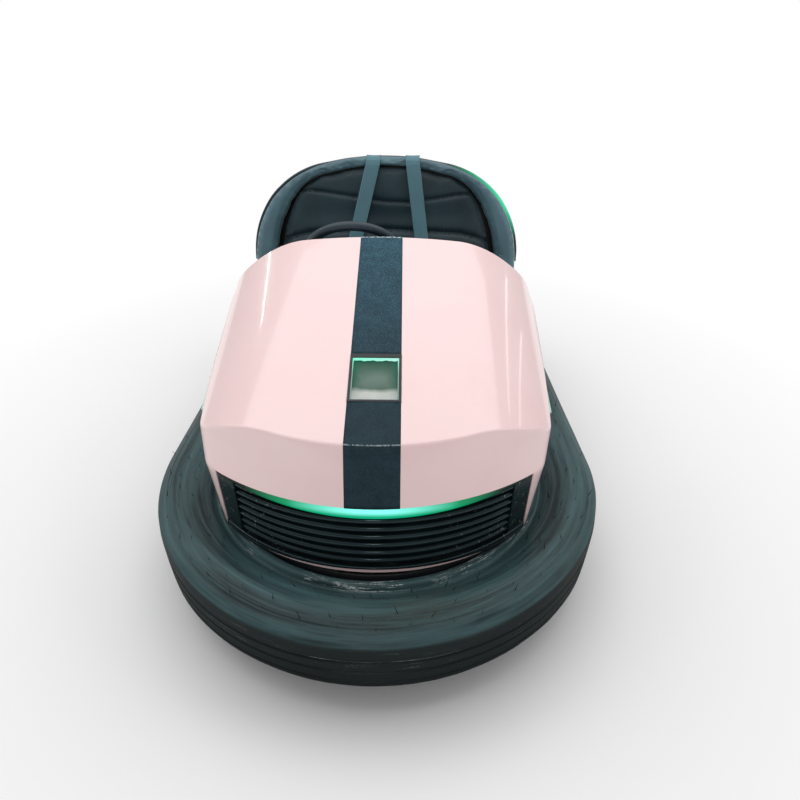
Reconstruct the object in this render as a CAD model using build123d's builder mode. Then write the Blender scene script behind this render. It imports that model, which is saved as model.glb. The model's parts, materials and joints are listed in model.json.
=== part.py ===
from build123d import *
import math
import os

# Bumper car, battery driven, with a tyre all round. Millimetres.
# X is across, -Y is the nose, +Y the tail, +Z up. The origin is on the floor under the middle.

# Driving dimensions of the bumper tyre
CAR_LENGTH = 1900.0
FRONT_RADIUS = 600.0
REAR_RADIUS = 570.0
TYRE_WIDTH = 185.0
TYRE_HEIGHT = 190.0
TYRE_GROUND_GAP = 75.0
TYRE_WALL = 13.0
BEAD_HEIGHT = 86.0
BEAD_DEPTH = 16.0
BEAD_TOE = 22.0
SIDEWALL_DIP = 62.0
SIDEWALL_DROP = 17.0
HOOP_WALL = 4.0
FLANGE_DEPTH = 14.0
SEAT_GAP = 0.3
RUNNING_GAP = 0.05

# Driving dimensions of the floor, frame and tub
PAN_BOTTOM = 130.0
PAN_THICKNESS = 4.0
RAIL_WIDTH = 40.0
RAIL_HEIGHT = 50.0
RAIL_X = 215.0
RAIL_TO_SEAT = 6.0
CROSS_RAIL_GAP = 20.0
FRONT_CROSS_RAIL = 115.0
REAR_CROSS_RAIL = 50.0
TUB_WALL = 4.0
DECK_THICKNESS = 5.0

# Driving dimensions of the body shell
SHELL = 5.0
BASE_Z = 250.0
COWL_SET_BACK = 385.0
COWL_Z = 766.0
BONNET_SLOPE = 0.265
CROWN_BLEND = 300.0
BEVEL_BLEND = 70.0
SILL_HEIGHT = 205.0
HIP_SET_BACK = 85.0
SILL_WIDTH = 36.0
SILL_ROUND = 14.0

# Grille, lamps and light strips
GRILLE_SIDE = 49.0
GRILLE_FOOT = 14.0
GRILLE_HEIGHT = 170.0
GRILLE_DEPTH = 70.0
GRILLE_SIDE_DEPTH = 170.0
HOUSING_WALL = 6.0
CHEEK_WIDTH = 14.0
SLAT_COUNT = 6
SLAT_DEPTH = 34.0
SLAT_THICKNESS = 11.0
SLAT_SET_BACK = 8.0
SLAT_NOSE = 4.0
LED_SIZE = 10.0
SIDE_LED_AHEAD = 130.0
WINDOW_WIDTH = 120.0
WINDOW_LENGTH = 152.0
WINDOW_AHEAD = 544.0
FRAME_WALL = 5.0
FRAME_DEPTH = 24.0
FRAME_RISE = 1.0
RING_WALL = 2.5
LENS_THICKNESS = 4.0
LENS_DEPTH = 14.0
LIGHT_BOX_DEPTH = 60.0
TAIL_LAMP_RADIUS = 34.0
TAIL_LAMP_X = 215.0
TAIL_LAMP_Z = 385.0
TAIL_LAMP_RISE = 9.0

# Wheels and drive unit
DRIVE_SET_FORWARD = 100.0
DRIVE_WHEEL_RADIUS = 110.0
DRIVE_WHEEL_WIDTH = 60.0
DRIVE_TREAD = 18.0
DRIVE_AXLE_RADIUS = 10.0
FORK_WALL = 8.0
FORK_GAP = 6.0
FORK_WIDTH = 90.0
CROWN_PLATE = 12.0
TURNTABLE_RADIUS = 85.0
TURNTABLE_Z = 250.0
PIVOT_RADIUS = 20.0
PIVOT_RISE = 12.0
BRIDGE_PLATE = 10.0
BRIDGE_LENGTH = 170.0
BRIDGE_WALL = 6.0
MOTOR_RADIUS = 58.0
MOTOR_LENGTH = 118.0
MOTOR_CHAMFER = 8.0
MOTOR_CAP_RADIUS = 34.0
MOTOR_CAP = 12.0
WELL_RADIUS = 195.0
WELL_GAP = 13.0
REAR_SET_BACK = 125.0
REAR_X = 270.0
REAR_WHEEL_RADIUS = 100.0
REAR_WHEEL_WIDTH = 44.0
REAR_TREAD = 16.0
REAR_AXLE_RADIUS = 10.0
HUB_GAP = 0.5
HUB_BOSS_RADIUS = 24.0
HUB_LIP = 8.0
HUB_HOLES = 5
HUB_HOLE_SHARE = 0.62
HANGER_WALL = 6.0
HANGER_HALF = 30.0

# Cockpit
BULKHEAD_AHEAD = 260.0
BULKHEAD_SIDE = 49.0
PANEL = 6.0
DASH_DROP = 146.0
DASH_SET_IN = 10.0
MAT_THICKNESS = 4.0
WHEEL_X = -90.0
WHEEL_BEHIND = 125.0
WHEEL_Z = 655.0
WHEEL_RAKE = 32.0
RIM_RADIUS = 150.0
RIM_TUBE = 14.0
HUB_RADIUS = 34.0
HUB_HEIGHT = 22.0
SPOKE_WIDTH = 26.0
SPOKE_THICKNESS = 6.0
COLUMN_RADIUS = 20.0
COLUMN_START = 34.0
COLUMN_GRIP = 50.0
BRACKET_LAP = 40.0
STEERING_SHAFT = 9.0
SEAT_DEPTH = 325.0
SEAT_TO_BACK = 75.0
SEAT_SIDE_GAP = 6.0
SEAT_HEIGHT = 210.0
CUSHION_HEIGHT = 86.0
CUSHION_OVERHANG = 8.0
CUSHION_ROUND = 26.0
BACK_TILT = 12.0
BACK_SET_BACK = 90.0
BACK_FOOT_Z = 432.0
BACK_HEIGHT = 450.0
BACK_HALF = 476.0
BORDER_WIDTH = 82.0
BORDER_DEPTH = 66.0
PAD_DEPTH = 44.0
BACK_BOARD = 12.0
BOARD_INSET = 13.0
BELT_WIDTH = 48.0
BELT_THICKNESS = 2.5
BELT_BEND = 6.0
BELT_TAIL = 20.0
BELT_STAND_OFF = 9.0
BELT_END = 10.0
PEDAL_X = -90.0
PEDAL_WIDTH = 80.0
BATTERY_GAP = 60.0
BATTERY_HALF = 175.0
BATTERY_LENGTH = 190.0
BATTERY_HEIGHT = 200.0

# Places that follow from the driving dimensions
HALF_LENGTH = CAR_LENGTH / 2
FRONT_CENTRE = -HALF_LENGTH + FRONT_RADIUS
REAR_CENTRE = HALF_LENGTH - REAR_RADIUS
FRONT_SEAT = FRONT_RADIUS - TYRE_WIDTH
REAR_SEAT = REAR_RADIUS - TYRE_WIDTH
TYRE_MID_Z = TYRE_GROUND_GAP + TYRE_HEIGHT / 2
BEAD_TOP_Z = TYRE_MID_Z + BEAD_HEIGHT / 2
BEAD_BOTTOM_Z = TYRE_MID_Z - BEAD_HEIGHT / 2
PAN_TOP = PAN_BOTTOM + PAN_THICKNESS
RAIL_Z = PAN_BOTTOM - RAIL_HEIGHT
DECK_BOTTOM = BASE_Z - DECK_THICKNESS
GRILLE_BOTTOM = BASE_Z + GRILLE_FOOT
GRILLE_TOP = GRILLE_BOTTOM + GRILLE_HEIGHT
GRILLE_END_Y = FRONT_CENTRE - GRILLE_SIDE_DEPTH
GRILLE_HALF = FRONT_SEAT - GRILLE_SIDE
COWL_Y = FRONT_CENTRE + COWL_SET_BACK
WINDOW_Y = COWL_Y - WINDOW_AHEAD
BULKHEAD_Y = COWL_Y - BULKHEAD_AHEAD
BULKHEAD_HALF = FRONT_SEAT - BULKHEAD_SIDE
WHEEL_Y = COWL_Y + WHEEL_BEHIND
BACK_FOOT_Y = REAR_CENTRE + BACK_SET_BACK
SEAT_REAR_Y = BACK_FOOT_Y - SEAT_TO_BACK
SEAT_FRONT_Y = SEAT_REAR_Y - SEAT_DEPTH
DRIVE_Y = FRONT_CENTRE - DRIVE_SET_FORWARD
REAR_Y = REAR_CENTRE + REAR_SET_BACK
MAT_TOP = PAN_TOP + MAT_THICKNESS
SEAT_TOP = PAN_TOP + SEAT_HEIGHT
DASH_BOTTOM = COWL_Z - DASH_DROP
FORK_INNER = DRIVE_WHEEL_WIDTH / 2 + FORK_GAP
FORK_OUTER = FORK_INNER + FORK_WALL
LARGE = 3000.0

# The rails end just inside the line that the tyre seats on
RAIL_OUTER = RAIL_X + RAIL_WIDTH / 2
RAIL_FRONT = FRONT_CENTRE + RAIL_WIDTH / 2 - math.sqrt((FRONT_SEAT - RAIL_TO_SEAT) ** 2 - RAIL_OUTER**2)
RAIL_REAR = REAR_CENTRE - RAIL_WIDTH / 2 + math.sqrt((REAR_SEAT - RAIL_TO_SEAT) ** 2 - RAIL_OUTER**2)

# Cross rails, columns: y, half span
CROSS_RAILS = [
    (RAIL_FRONT, RAIL_X),
    (FRONT_CENTRE + FRONT_CROSS_RAIL, FRONT_SEAT - CROSS_RAIL_GAP),
    (REAR_CENTRE - REAR_CROSS_RAIL, REAR_SEAT - CROSS_RAIL_GAP),
    (RAIL_REAR, RAIL_X),
]

# Plan of the body at four heights. The distances out are from the line that the tyre seats on.
# Columns: rise above the base, nose out, corner out, corner ahead of the front centre,
# cowl out, hip out, tail out
BODY_SECTIONS = [
    (0, -10, -39, 240, -3, 17, -13),
    (185, -21, -15, 242, 35, 55, -15),
    (260, -43, 1, 188, 53, 71, -27),
    (650, -181, 1, 100, 53, 71, -190),
]

# Half width of the seat base, inside the side panels at their narrowest
BASE_HALF = min(FRONT_SEAT + BODY_SECTIONS[0][4], REAR_SEAT + BODY_SECTIONS[0][5])
SEAT_HALF = BASE_HALF - SILL_WIDTH - SEAT_SIDE_GAP
CUSHION_HALF = SEAT_HALF + CUSHION_OVERHANG

# Profile of the bonnet beside its crown, columns: out from the line that the tyre seats on,
# drop below the crown's middle
BONNET_BEVEL = [
    (-83, 25),
    (15, 131),
    (275, 729),
]

# Seat belts, columns: x at the top of the back, x at their foot
BELTS = {
    "belt_left": (-42, -150),
    "belt_right": (92, 150),
}

# Half outline of the seat back, columns: in from its half width, below its top,
# share of an inset that goes sideways, share that goes down, share of the border's width
ARCH_POINTS = [
    (6, 332, 1.0, 0.0, 1.0),
    (27, 220, 0.98, 0.15, 1.0),
    (76, 133, 0.84, 0.54, 0.8),
    (140, 75, 0.62, 0.78, 0.5),
    (276, 22, 0.2, 0.98, 0.28),
    (BACK_HALF, 0, 0.0, 1.0, 0.22),
]

# Tyre's section from the tread's face to its top, columns: in from the face, below the top
TYRE_SHOULDER = [
    (0, 39),
    (3, 26),
    (12, 19),
    (37, 5),
    (67, 0),
]

# Inside of the carcass from the sidewall to the tread, columns: out from the seat line, below the top
TYRE_INSIDE = [
    (34, 53),
    (62, 32),
    (120, 15),
]

# Side view of the pedal, columns: behind the bulkhead, above the mat
PEDAL_POINTS = [
    (12, 0),
    (130, 0),
    (130, 6),
    (40, 62),
    (33, 56),
    (98, 14),
    (12, 6),
]

os.makedirs("parts", exist_ok=True)


def save(builder, name):
    """Labels a finished piece and writes it as its own file."""
    builder.part.label = name
    export_step(builder.part, f"parts/{name}.step")


def ring_points(growth):
    """Ends of the straight side of the tyre's plan, grown outwards: front, rear and both radii."""
    front = FRONT_SEAT + growth
    rear = REAR_SEAT + growth
    lean = math.asin((FRONT_RADIUS - REAR_RADIUS) / (REAR_CENTRE - FRONT_CENTRE))
    front_end = (front * math.cos(lean), FRONT_CENTRE + front * math.sin(lean))
    rear_end = (rear * math.cos(lean), REAR_CENTRE + rear * math.sin(lean))
    return front_end, rear_end, front, rear


def ring_wire(growth):
    """Plan of the line that the tyre seats on: two arcs joined by tangent sides."""
    front_end, rear_end, front, rear = ring_points(growth)
    with BuildLine() as line:
        Line(rear_end, front_end)
        ThreePointArc(front_end, (0, FRONT_CENTRE - front), (-front_end[0], front_end[1]))
        Line((-front_end[0], front_end[1]), (-rear_end[0], rear_end[1]))
        ThreePointArc((-rear_end[0], rear_end[1]), (0, REAR_CENTRE + rear), rear_end)
    return line.wires()[0]


def ring_prism(growth, z_low, z_high):
    """The tyre seat's plan, grown outwards, as a block between two heights."""
    with BuildPart() as prism:
        with BuildSketch(Plane.XY.offset(z_low)):
            with BuildLine():
                add(ring_wire(growth))
            make_face()
        extrude(amount=z_high - z_low)
    return prism.part


def ring_plane():
    """Plane of the tyre's cross section at the right side: its X points outwards, its Y up."""
    front_end, rear_end, front, rear = ring_points(0)
    along = Vector(front_end[0] - rear_end[0], front_end[1] - rear_end[1], 0)
    return Plane(origin=(*rear_end, TYRE_MID_Z), x_dir=(-along.Y, along.X, 0), z_dir=along)


def body_outline(row, inset):
    """Plan of the body at one row of BODY_SECTIONS, moved inwards by inset."""
    rise, nose_out, corner_out, ahead, cowl_out, hip_out, tail_out = row
    corner = (FRONT_SEAT + corner_out - inset, FRONT_CENTRE - ahead + inset)
    cowl = (FRONT_SEAT + cowl_out - inset, COWL_Y)
    hip = (REAR_SEAT + hip_out - inset, REAR_CENTRE + HIP_SET_BACK)
    nose = (0, FRONT_CENTRE - FRONT_SEAT - nose_out + inset)
    tail = (0, REAR_CENTRE + REAR_SEAT + tail_out - inset)
    with BuildSketch(Plane.XY.offset(BASE_Z + rise)) as outline:
        with BuildLine():
            ThreePointArc((-corner[0], corner[1]), nose, corner)
            Polyline(corner, cowl, hip)
            ThreePointArc(hip, tail, (-hip[0], hip[1]))
            Polyline((-hip[0], hip[1]), (-cowl[0], cowl[1]), (-corner[0], corner[1]))
        make_face()
    return outline.sketch


def body_form(inset):
    """Closed form of the whole body, moved inwards by inset."""
    with BuildPart() as form:
        for row in BODY_SECTIONS:
            add(body_outline(row, inset))
        loft(ruled=True)
    return form.part


def block(x_low, x_high, y_low, y_high, z_low, z_high):
    """Box between two corners."""
    with BuildPart() as box:
        with BuildSketch(Plane.XY.offset(z_low)):
            with Locations(((x_low + x_high) / 2, (y_low + y_high) / 2)):
                Rectangle(x_high - x_low, y_high - y_low)
        extrude(amount=z_high - z_low)
    return box.part


def bonnet_room(inset):
    """Room under the bonnet's crowned top and side bevels, ahead of the cowl."""
    top = COWL_Z - (COWL_Y + HALF_LENGTH) * BONNET_SLOPE - inset
    right = [(FRONT_SEAT + out, top - drop) for out, drop in BONNET_BEVEL]
    left = [(-x, z) for x, z in reversed(right)]
    with BuildPart() as room:
        with BuildSketch(Plane.XZ.offset(HALF_LENGTH)) as profile:
            with BuildLine():
                ThreePointArc(left[-1], (0, top), right[0])
                Polyline(*right, *left)
            make_face()
            for (half_width, level), blend in ((right[0], CROWN_BLEND), (right[1], BEVEL_BLEND)):
                fillet([v for v in profile.vertices() if abs(abs(v.X) - half_width) < 1], blend)
        extrude(amount=(COWL_Y + HALF_LENGTH) * math.hypot(1, BONNET_SLOPE), dir=(0, 1, BONNET_SLOPE))
    return room.part


def nose_form(inset):
    """Closed form of the nose, moved inwards by inset."""
    with BuildPart() as form:
        add(body_form(inset))
        add(bonnet_room(inset), mode=Mode.INTERSECT)
    return form.part


def window_plane(depth=0):
    """Plane of the bonnet's window, with its origin in the middle, sunk by depth."""
    tilt = math.atan(BONNET_SLOPE)
    z = COWL_Z + (WINDOW_Y - COWL_Y) * BONNET_SLOPE
    plane = Plane(origin=(0, WINDOW_Y, z), x_dir=(1, 0, 0), z_dir=(0, -math.sin(tilt), math.cos(tilt)))
    return plane.offset(-depth)


def grille_room(half_width, set_back, depth, z_low, z_high):
    """Room behind the grille's curved front face, from set_back to depth behind the shell."""
    with BuildPart() as room:
        add(block(-half_width, half_width, -HALF_LENGTH, GRILLE_END_Y - HOUSING_WALL, z_low, z_high))
        if set_back:
            add(body_form(set_back), mode=Mode.INTERSECT)
        add(body_form(depth), mode=Mode.SUBTRACT)
    return room.part


def window_block(inset, plane, depth):
    """Block of the window's outline, moved inwards by inset, that reaches down from a plane."""
    with BuildPart() as room:
        with BuildSketch(plane):
            Rectangle(WINDOW_WIDTH - 2 * inset, WINDOW_LENGTH - 2 * inset)
        extrude(amount=-depth)
    return room.part


def back_plane(forward):
    """Tilted plane of the seat back, forward of the board: its X is across, its Y up the back."""
    tilt = math.radians(BACK_TILT)
    normal = (0, -math.cos(tilt), math.sin(tilt))
    return Plane(origin=(0, BACK_FOOT_Y, BACK_FOOT_Z), x_dir=(1, 0, 0), z_dir=normal).offset(forward)


def arch_outline(inset, foot, border=0):
    """Arch of the seat back in its own plane, moved inwards by inset and border, down to foot."""
    right = []
    for x_in, below, share_x, share_y, share_border in ARCH_POINTS:
        inwards = inset + border * share_border
        right.append((BACK_HALF - x_in - inwards * share_x, BACK_HEIGHT - below - inwards * share_y))
    left = [(-x, y) for x, y in right]
    foot_right = (right[0][0], foot)
    foot_left = (-right[0][0], foot)
    with BuildSketch() as arch:
        with BuildLine():
            Line(foot_right, right[0])
            ThreePointArc(right[0], right[1], right[2])
            ThreePointArc(right[2], right[3], right[4])
            ThreePointArc(right[4], right[5], left[4])
            ThreePointArc(left[4], left[3], left[2])
            ThreePointArc(left[2], left[1], left[0])
            Line(left[0], foot_left)
            Line(foot_left, foot_right)
        make_face()
    return arch.sketch


def wheel_tyre(radius, width, tread, shoulder, plane):
    """Solid rubber tyre on the axis of a plane, centred on it."""
    with BuildPart() as tyre:
        with BuildSketch(plane):
            Circle(radius)
            Circle(radius - tread, mode=Mode.SUBTRACT)
        extrude(amount=width / 2, both=True)
        chamfer(tyre.edges().filter_by(GeomType.CIRCLE).sort_by(SortBy.RADIUS)[-2:], shoulder)
    return tyre.part


def wheel_hub(radius, width, bore, boss_low, boss_high, plane):
    """Dished hub with a bored boss, on the axis of a plane. The boss reaches past both faces."""
    with BuildPart() as hub:
        with BuildSketch(plane):
            Circle(radius)
        extrude(amount=width / 2, both=True)
        with BuildSketch(plane.offset(width / 2), plane.offset(-width / 2)):
            Circle(radius - HUB_LIP)
            Circle(HUB_BOSS_RADIUS, mode=Mode.SUBTRACT)
        extrude(amount=width / 3, both=True, mode=Mode.SUBTRACT)
        with BuildSketch(plane.offset(boss_low)):
            Circle(HUB_BOSS_RADIUS)
        extrude(amount=boss_high - boss_low)
        with BuildSketch(plane.offset(boss_low)):
            Circle(bore)
        extrude(amount=boss_high - boss_low, mode=Mode.SUBTRACT)
        with BuildSketch(plane.offset(-width)):
            web = radius - HUB_LIP - HUB_BOSS_RADIUS
            with PolarLocations(HUB_BOSS_RADIUS + web / 2, HUB_HOLES):
                Circle(web * HUB_HOLE_SHARE / 2)
        extrude(amount=2 * width, mode=Mode.SUBTRACT)
    return hub.part


# Bumper tyre: hollow carcass with bead feet, swept round the car
with BuildPart() as bumper_tyre:
    half = TYRE_HEIGHT / 2
    bead = BEAD_HEIGHT / 2
    with BuildSketch(ring_plane()):
        with BuildLine():
            tread_inside = TYRE_WIDTH - TYRE_WALL
            shoulder = [(TYRE_WIDTH - inwards, half - below) for inwards, below in TYRE_SHOULDER]
            Polyline(
                (BEAD_DEPTH, bead - BEAD_TOE),
                *[(out, half - below) for out, below in TYRE_INSIDE],
                (tread_inside, shoulder[0][1]),
                (tread_inside, 0),
                (TYRE_WIDTH, 0),
                shoulder[0],
            )
            ThreePointArc(shoulder[0], shoulder[1], shoulder[2])
            ThreePointArc(shoulder[2], shoulder[3], shoulder[4])
            ThreePointArc(shoulder[4], (SIDEWALL_DIP, half - SIDEWALL_DROP), (BEAD_DEPTH + 4, bead + 6))
            Line((BEAD_DEPTH + 4, bead + 6), (BEAD_DEPTH, bead - SEAT_GAP))
            Line((BEAD_DEPTH, bead - SEAT_GAP), (SEAT_GAP, bead - SEAT_GAP))
            Line((SEAT_GAP, bead - SEAT_GAP), (SEAT_GAP, bead - BEAD_TOE))
            Line((SEAT_GAP, bead - BEAD_TOE), (BEAD_DEPTH, bead - BEAD_TOE))
        make_face()
        mirror(about=Plane.XZ)
    sweep(path=ring_wire(0).moved(Location((0, 0, TYRE_MID_Z))))
save(bumper_tyre, "bumper_tyre")

# Steel hoop: a channel that the tyre's beads sit in
with BuildPart() as tyre_hoop:
    add(ring_prism(0, BEAD_BOTTOM_Z, BEAD_TOP_Z))
    for flange_z in (BEAD_TOP_Z, BEAD_BOTTOM_Z - HOOP_WALL):
        add(ring_prism(FLANGE_DEPTH, flange_z, flange_z + HOOP_WALL))
    add(ring_prism(-HOOP_WALL, 0, BASE_Z), mode=Mode.SUBTRACT)
save(tyre_hoop, "tyre_hoop")

# Floor pan with the openings for the drive unit and the rear wheels
with BuildPart() as floor_pan:
    add(ring_prism(-HOOP_WALL, PAN_BOTTOM, PAN_TOP))
    with BuildSketch(Plane.XY.offset(PAN_BOTTOM)):
        with Locations((0, DRIVE_Y)):
            Circle(WELL_RADIUS)
        with Locations((-REAR_X, REAR_Y), (REAR_X, REAR_Y)):
            Rectangle(REAR_WHEEL_WIDTH + 2 * WELL_GAP, 2 * (REAR_WHEEL_RADIUS + WELL_GAP))
    extrude(amount=PAN_THICKNESS, mode=Mode.SUBTRACT)
save(floor_pan, "floor_pan")

# Chassis rails under the pan: two along the car and four across, bored for the rear axle
with BuildPart() as chassis_rails:
    half = RAIL_WIDTH / 2
    for rail_x in (-RAIL_X, RAIL_X):
        add(block(rail_x - half, rail_x + half, RAIL_FRONT, RAIL_REAR, RAIL_Z, PAN_BOTTOM))
    for cross_y, half_span in CROSS_RAILS:
        add(block(-half_span, half_span, cross_y - half, cross_y + half, RAIL_Z, PAN_BOTTOM))
    with BuildSketch(Plane.YZ):
        with Locations((REAR_Y, REAR_WHEEL_RADIUS)):
            Circle(REAR_AXLE_RADIUS + RUNNING_GAP)
    extrude(amount=RAIL_X + RAIL_WIDTH, both=True, mode=Mode.SUBTRACT)
save(chassis_rails, "chassis_rails")

# Tub: inner wall that stands on the pan, with the deck that the shell sits on
with BuildPart() as body_tub:
    add(ring_prism(-HOOP_WALL - SEAT_GAP, PAN_TOP, DECK_BOTTOM))
    add(body_outline(BODY_SECTIONS[0], 0).moved(Location((0, 0, -DECK_THICKNESS))))
    extrude(amount=DECK_THICKNESS, dir=(0, 0, 1))
    add(ring_prism(-HOOP_WALL - SEAT_GAP - TUB_WALL, PAN_TOP, BASE_Z), mode=Mode.SUBTRACT)
save(body_tub, "body_tub")

# Nose shell: bonnet, fascia and side bevels in one moulding, open behind and below
with BuildPart() as nose_shell:
    add(nose_form(0))
    add(nose_form(SHELL), mode=Mode.SUBTRACT)
    add(
        block(-GRILLE_HALF, GRILLE_HALF, -HALF_LENGTH, GRILLE_END_Y, GRILLE_BOTTOM, GRILLE_TOP),
        mode=Mode.SUBTRACT,
    )
    add(window_block(0, window_plane(-FRAME_DEPTH), 2 * FRAME_DEPTH), mode=Mode.SUBTRACT)
save(nose_shell, "nose_shell")

# Grille housing: tray behind the opening, with end cheeks
cheek_outer = GRILLE_HALF + CHEEK_WIDTH
cheek_inner = GRILLE_HALF - CHEEK_WIDTH
with BuildPart() as grille_housing:
    add(nose_form(SHELL + SEAT_GAP))
    add(
        block(
            -cheek_outer,
            cheek_outer,
            -HALF_LENGTH,
            GRILLE_END_Y,
            GRILLE_BOTTOM - HOUSING_WALL,
            GRILLE_TOP + HOUSING_WALL,
        ),
        mode=Mode.INTERSECT,
    )
    add(nose_form(GRILLE_DEPTH + HOUSING_WALL), mode=Mode.SUBTRACT)
    add(grille_room(cheek_inner, 0, GRILLE_DEPTH, GRILLE_BOTTOM, GRILLE_TOP), mode=Mode.SUBTRACT)
save(grille_housing, "grille_housing")

# Grille slats: glossy bars that follow the nose, each leaning out at its foot
with BuildPart() as grille_slats:
    pitch = (GRILLE_HEIGHT - LED_SIZE) / SLAT_COUNT
    for i in range(SLAT_COUNT):
        z_low = GRILLE_BOTTOM + pitch * i + (pitch - SLAT_THICKNESS) / 2
        z_high = z_low + SLAT_THICKNESS
        add(grille_room(cheek_inner, SLAT_SET_BACK, SLAT_SET_BACK + SLAT_DEPTH, z_low, z_high))
    for slat in grille_slats.solids():
        front = slat.faces().sort_by(Axis.Y)[0]
        fillet([edge for edge in front.edges() if edge.length > cheek_inner], SLAT_NOSE)
save(grille_slats, "grille_slats")

# Light strip under the front edge of the fascia
with BuildPart() as front_led_strip:
    add(grille_room(cheek_inner, 2, LED_SIZE + 2, GRILLE_TOP - LED_SIZE, GRILLE_TOP))
save(front_led_strip, "front_led_strip")

# Window in the bonnet: frame, lens, light ring and the light box below them
pane_inset = SEAT_GAP + FRAME_WALL
with BuildPart() as window_frame:
    add(window_block(SEAT_GAP, window_plane(-FRAME_RISE), FRAME_DEPTH))
    add(window_block(pane_inset, window_plane(-FRAME_RISE), FRAME_DEPTH), mode=Mode.SUBTRACT)
save(window_frame, "window_frame")

with BuildPart() as window_light_ring:
    ring_depth = LENS_DEPTH - FRAME_RISE - SEAT_GAP
    add(window_block(pane_inset, window_plane(FRAME_RISE), ring_depth))
    add(window_block(pane_inset + RING_WALL, window_plane(FRAME_RISE), ring_depth), mode=Mode.SUBTRACT)
save(window_light_ring, "window_light_ring")

with BuildPart() as window_lens:
    add(window_block(pane_inset, window_plane(LENS_DEPTH), LENS_THICKNESS))
save(window_lens, "window_lens")

with BuildPart() as light_box:
    box_top = window_plane(FRAME_DEPTH - FRAME_RISE)
    add(window_block(SEAT_GAP, box_top, LIGHT_BOX_DEPTH))
    add(window_block(pane_inset, box_top, LIGHT_BOX_DEPTH - LENS_THICKNESS), mode=Mode.SUBTRACT)
save(light_box, "light_box")

# Light strips outside both flanks of the nose, just under the bevel
with BuildPart() as side_led_strips:
    strip_z = BASE_Z + BODY_SECTIONS[2][0]
    add(body_form(-LED_SIZE / 2))
    strip_front = FRONT_CENTRE - SIDE_LED_AHEAD
    add(block(-LARGE, LARGE, strip_front, COWL_Y, strip_z - LED_SIZE, strip_z), mode=Mode.INTERSECT)
    add(body_form(0), mode=Mode.SUBTRACT)
save(side_led_strips, "side_led_strips")

# Dash panel across the cowl, cut to the underside of the bonnet
dash_rear = COWL_Y - DASH_SET_IN
with BuildPart() as dash_panel:
    add(nose_form(SHELL + SEAT_GAP))
    add(block(-LARGE, LARGE, dash_rear - PANEL, dash_rear, DASH_BOTTOM, LARGE), mode=Mode.INTERSECT)
save(dash_panel, "dash_panel")

# Bulkhead between the drive unit and the footwell
with BuildPart() as bulkhead:
    add(nose_form(SHELL + SEAT_GAP))
    add(
        block(-BULKHEAD_HALF, BULKHEAD_HALF, BULKHEAD_Y - PANEL, BULKHEAD_Y, BASE_Z, LARGE),
        mode=Mode.INTERSECT,
    )
    add(block(-BULKHEAD_HALF, BULKHEAD_HALF, BULKHEAD_Y - PANEL, BULKHEAD_Y, PAN_TOP, BASE_Z))
save(bulkhead, "bulkhead")

# Footwell mat
with BuildPart() as footwell_mat:
    add(block(-SEAT_HALF, SEAT_HALF, BULKHEAD_Y + PANEL, SEAT_FRONT_Y - PANEL, PAN_TOP, MAT_TOP))
save(footwell_mat, "footwell_mat")

# Pedal: base plate and leaning tread on the mat
with BuildPart() as pedal:
    with BuildSketch(Plane.YZ.offset(PEDAL_X - PEDAL_WIDTH / 2)):
        with BuildLine():
            Polyline([(BULKHEAD_Y + y, MAT_TOP + z) for y, z in PEDAL_POINTS], close=True)
        make_face()
    extrude(amount=PEDAL_WIDTH)
save(pedal, "pedal")

# Steering: a tube through the dash bracket to the bulkhead, and the wheel on its shaft
wheel_plane = Plane(
    origin=(WHEEL_X, WHEEL_Y, WHEEL_Z),
    x_dir=(1, 0, 0),
    z_dir=(0, math.cos(math.radians(WHEEL_RAKE)), math.sin(math.radians(WHEEL_RAKE))),
)
rim_section = Plane(origin=wheel_plane.from_local_coords((RIM_RADIUS, 0, 0)), z_dir=wheel_plane.y_dir)
column_length = (WHEEL_Y - BULKHEAD_Y) / math.cos(math.radians(WHEEL_RAKE)) + COLUMN_RADIUS
dash_run = (WHEEL_Y - dash_rear) * math.tan(math.radians(WHEEL_RAKE))
with BuildPart() as steering_column:
    with BuildSketch(Plane.XZ.offset(-dash_rear)):
        bracket_top = DASH_BOTTOM + BRACKET_LAP
        bracket_foot = WHEEL_Z - dash_run
        with Locations((WHEEL_X, (bracket_foot + bracket_top) / 2)):
            Rectangle(3 * COLUMN_RADIUS, bracket_top - bracket_foot)
    extrude(amount=-PANEL)
    with BuildSketch(wheel_plane.offset(-COLUMN_START)):
        Circle(COLUMN_RADIUS)
    extrude(amount=-column_length)
    with BuildSketch(wheel_plane.offset(-COLUMN_START)):
        Circle(STEERING_SHAFT + RUNNING_GAP)
    extrude(amount=-column_length, mode=Mode.SUBTRACT)
    add(block(-LARGE, LARGE, -LARGE, BULKHEAD_Y, 0, LARGE), mode=Mode.SUBTRACT)
save(steering_column, "steering_column")

with BuildPart() as wheel_spider:
    with BuildSketch(wheel_plane.offset(-HUB_HEIGHT / 2)):
        Circle(HUB_RADIUS)
    extrude(amount=HUB_HEIGHT)
    with BuildSketch(wheel_plane.offset(-SPOKE_THICKNESS / 2)):
        for angle in (0, 90, 180):
            with PolarLocations(RIM_RADIUS / 2, 1, start_angle=angle):
                Rectangle(RIM_RADIUS, SPOKE_WIDTH)
    extrude(amount=SPOKE_THICKNESS)
    with BuildSketch(wheel_plane):
        Circle(STEERING_SHAFT)
    extrude(amount=-COLUMN_START - COLUMN_GRIP)
    with BuildLine(wheel_plane):
        CenterArc((0, 0), RIM_RADIUS, 0, 360)
    with BuildSketch(rim_section):
        Circle(RIM_TUBE + SEAT_GAP)
    sweep(mode=Mode.SUBTRACT)
save(wheel_spider, "wheel_spider")

with BuildPart() as wheel_rim:
    with BuildLine(wheel_plane):
        CenterArc((0, 0), RIM_RADIUS, 0, 360)
    with BuildSketch(rim_section):
        Circle(RIM_TUBE)
    sweep()
save(wheel_rim, "wheel_rim")

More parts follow.
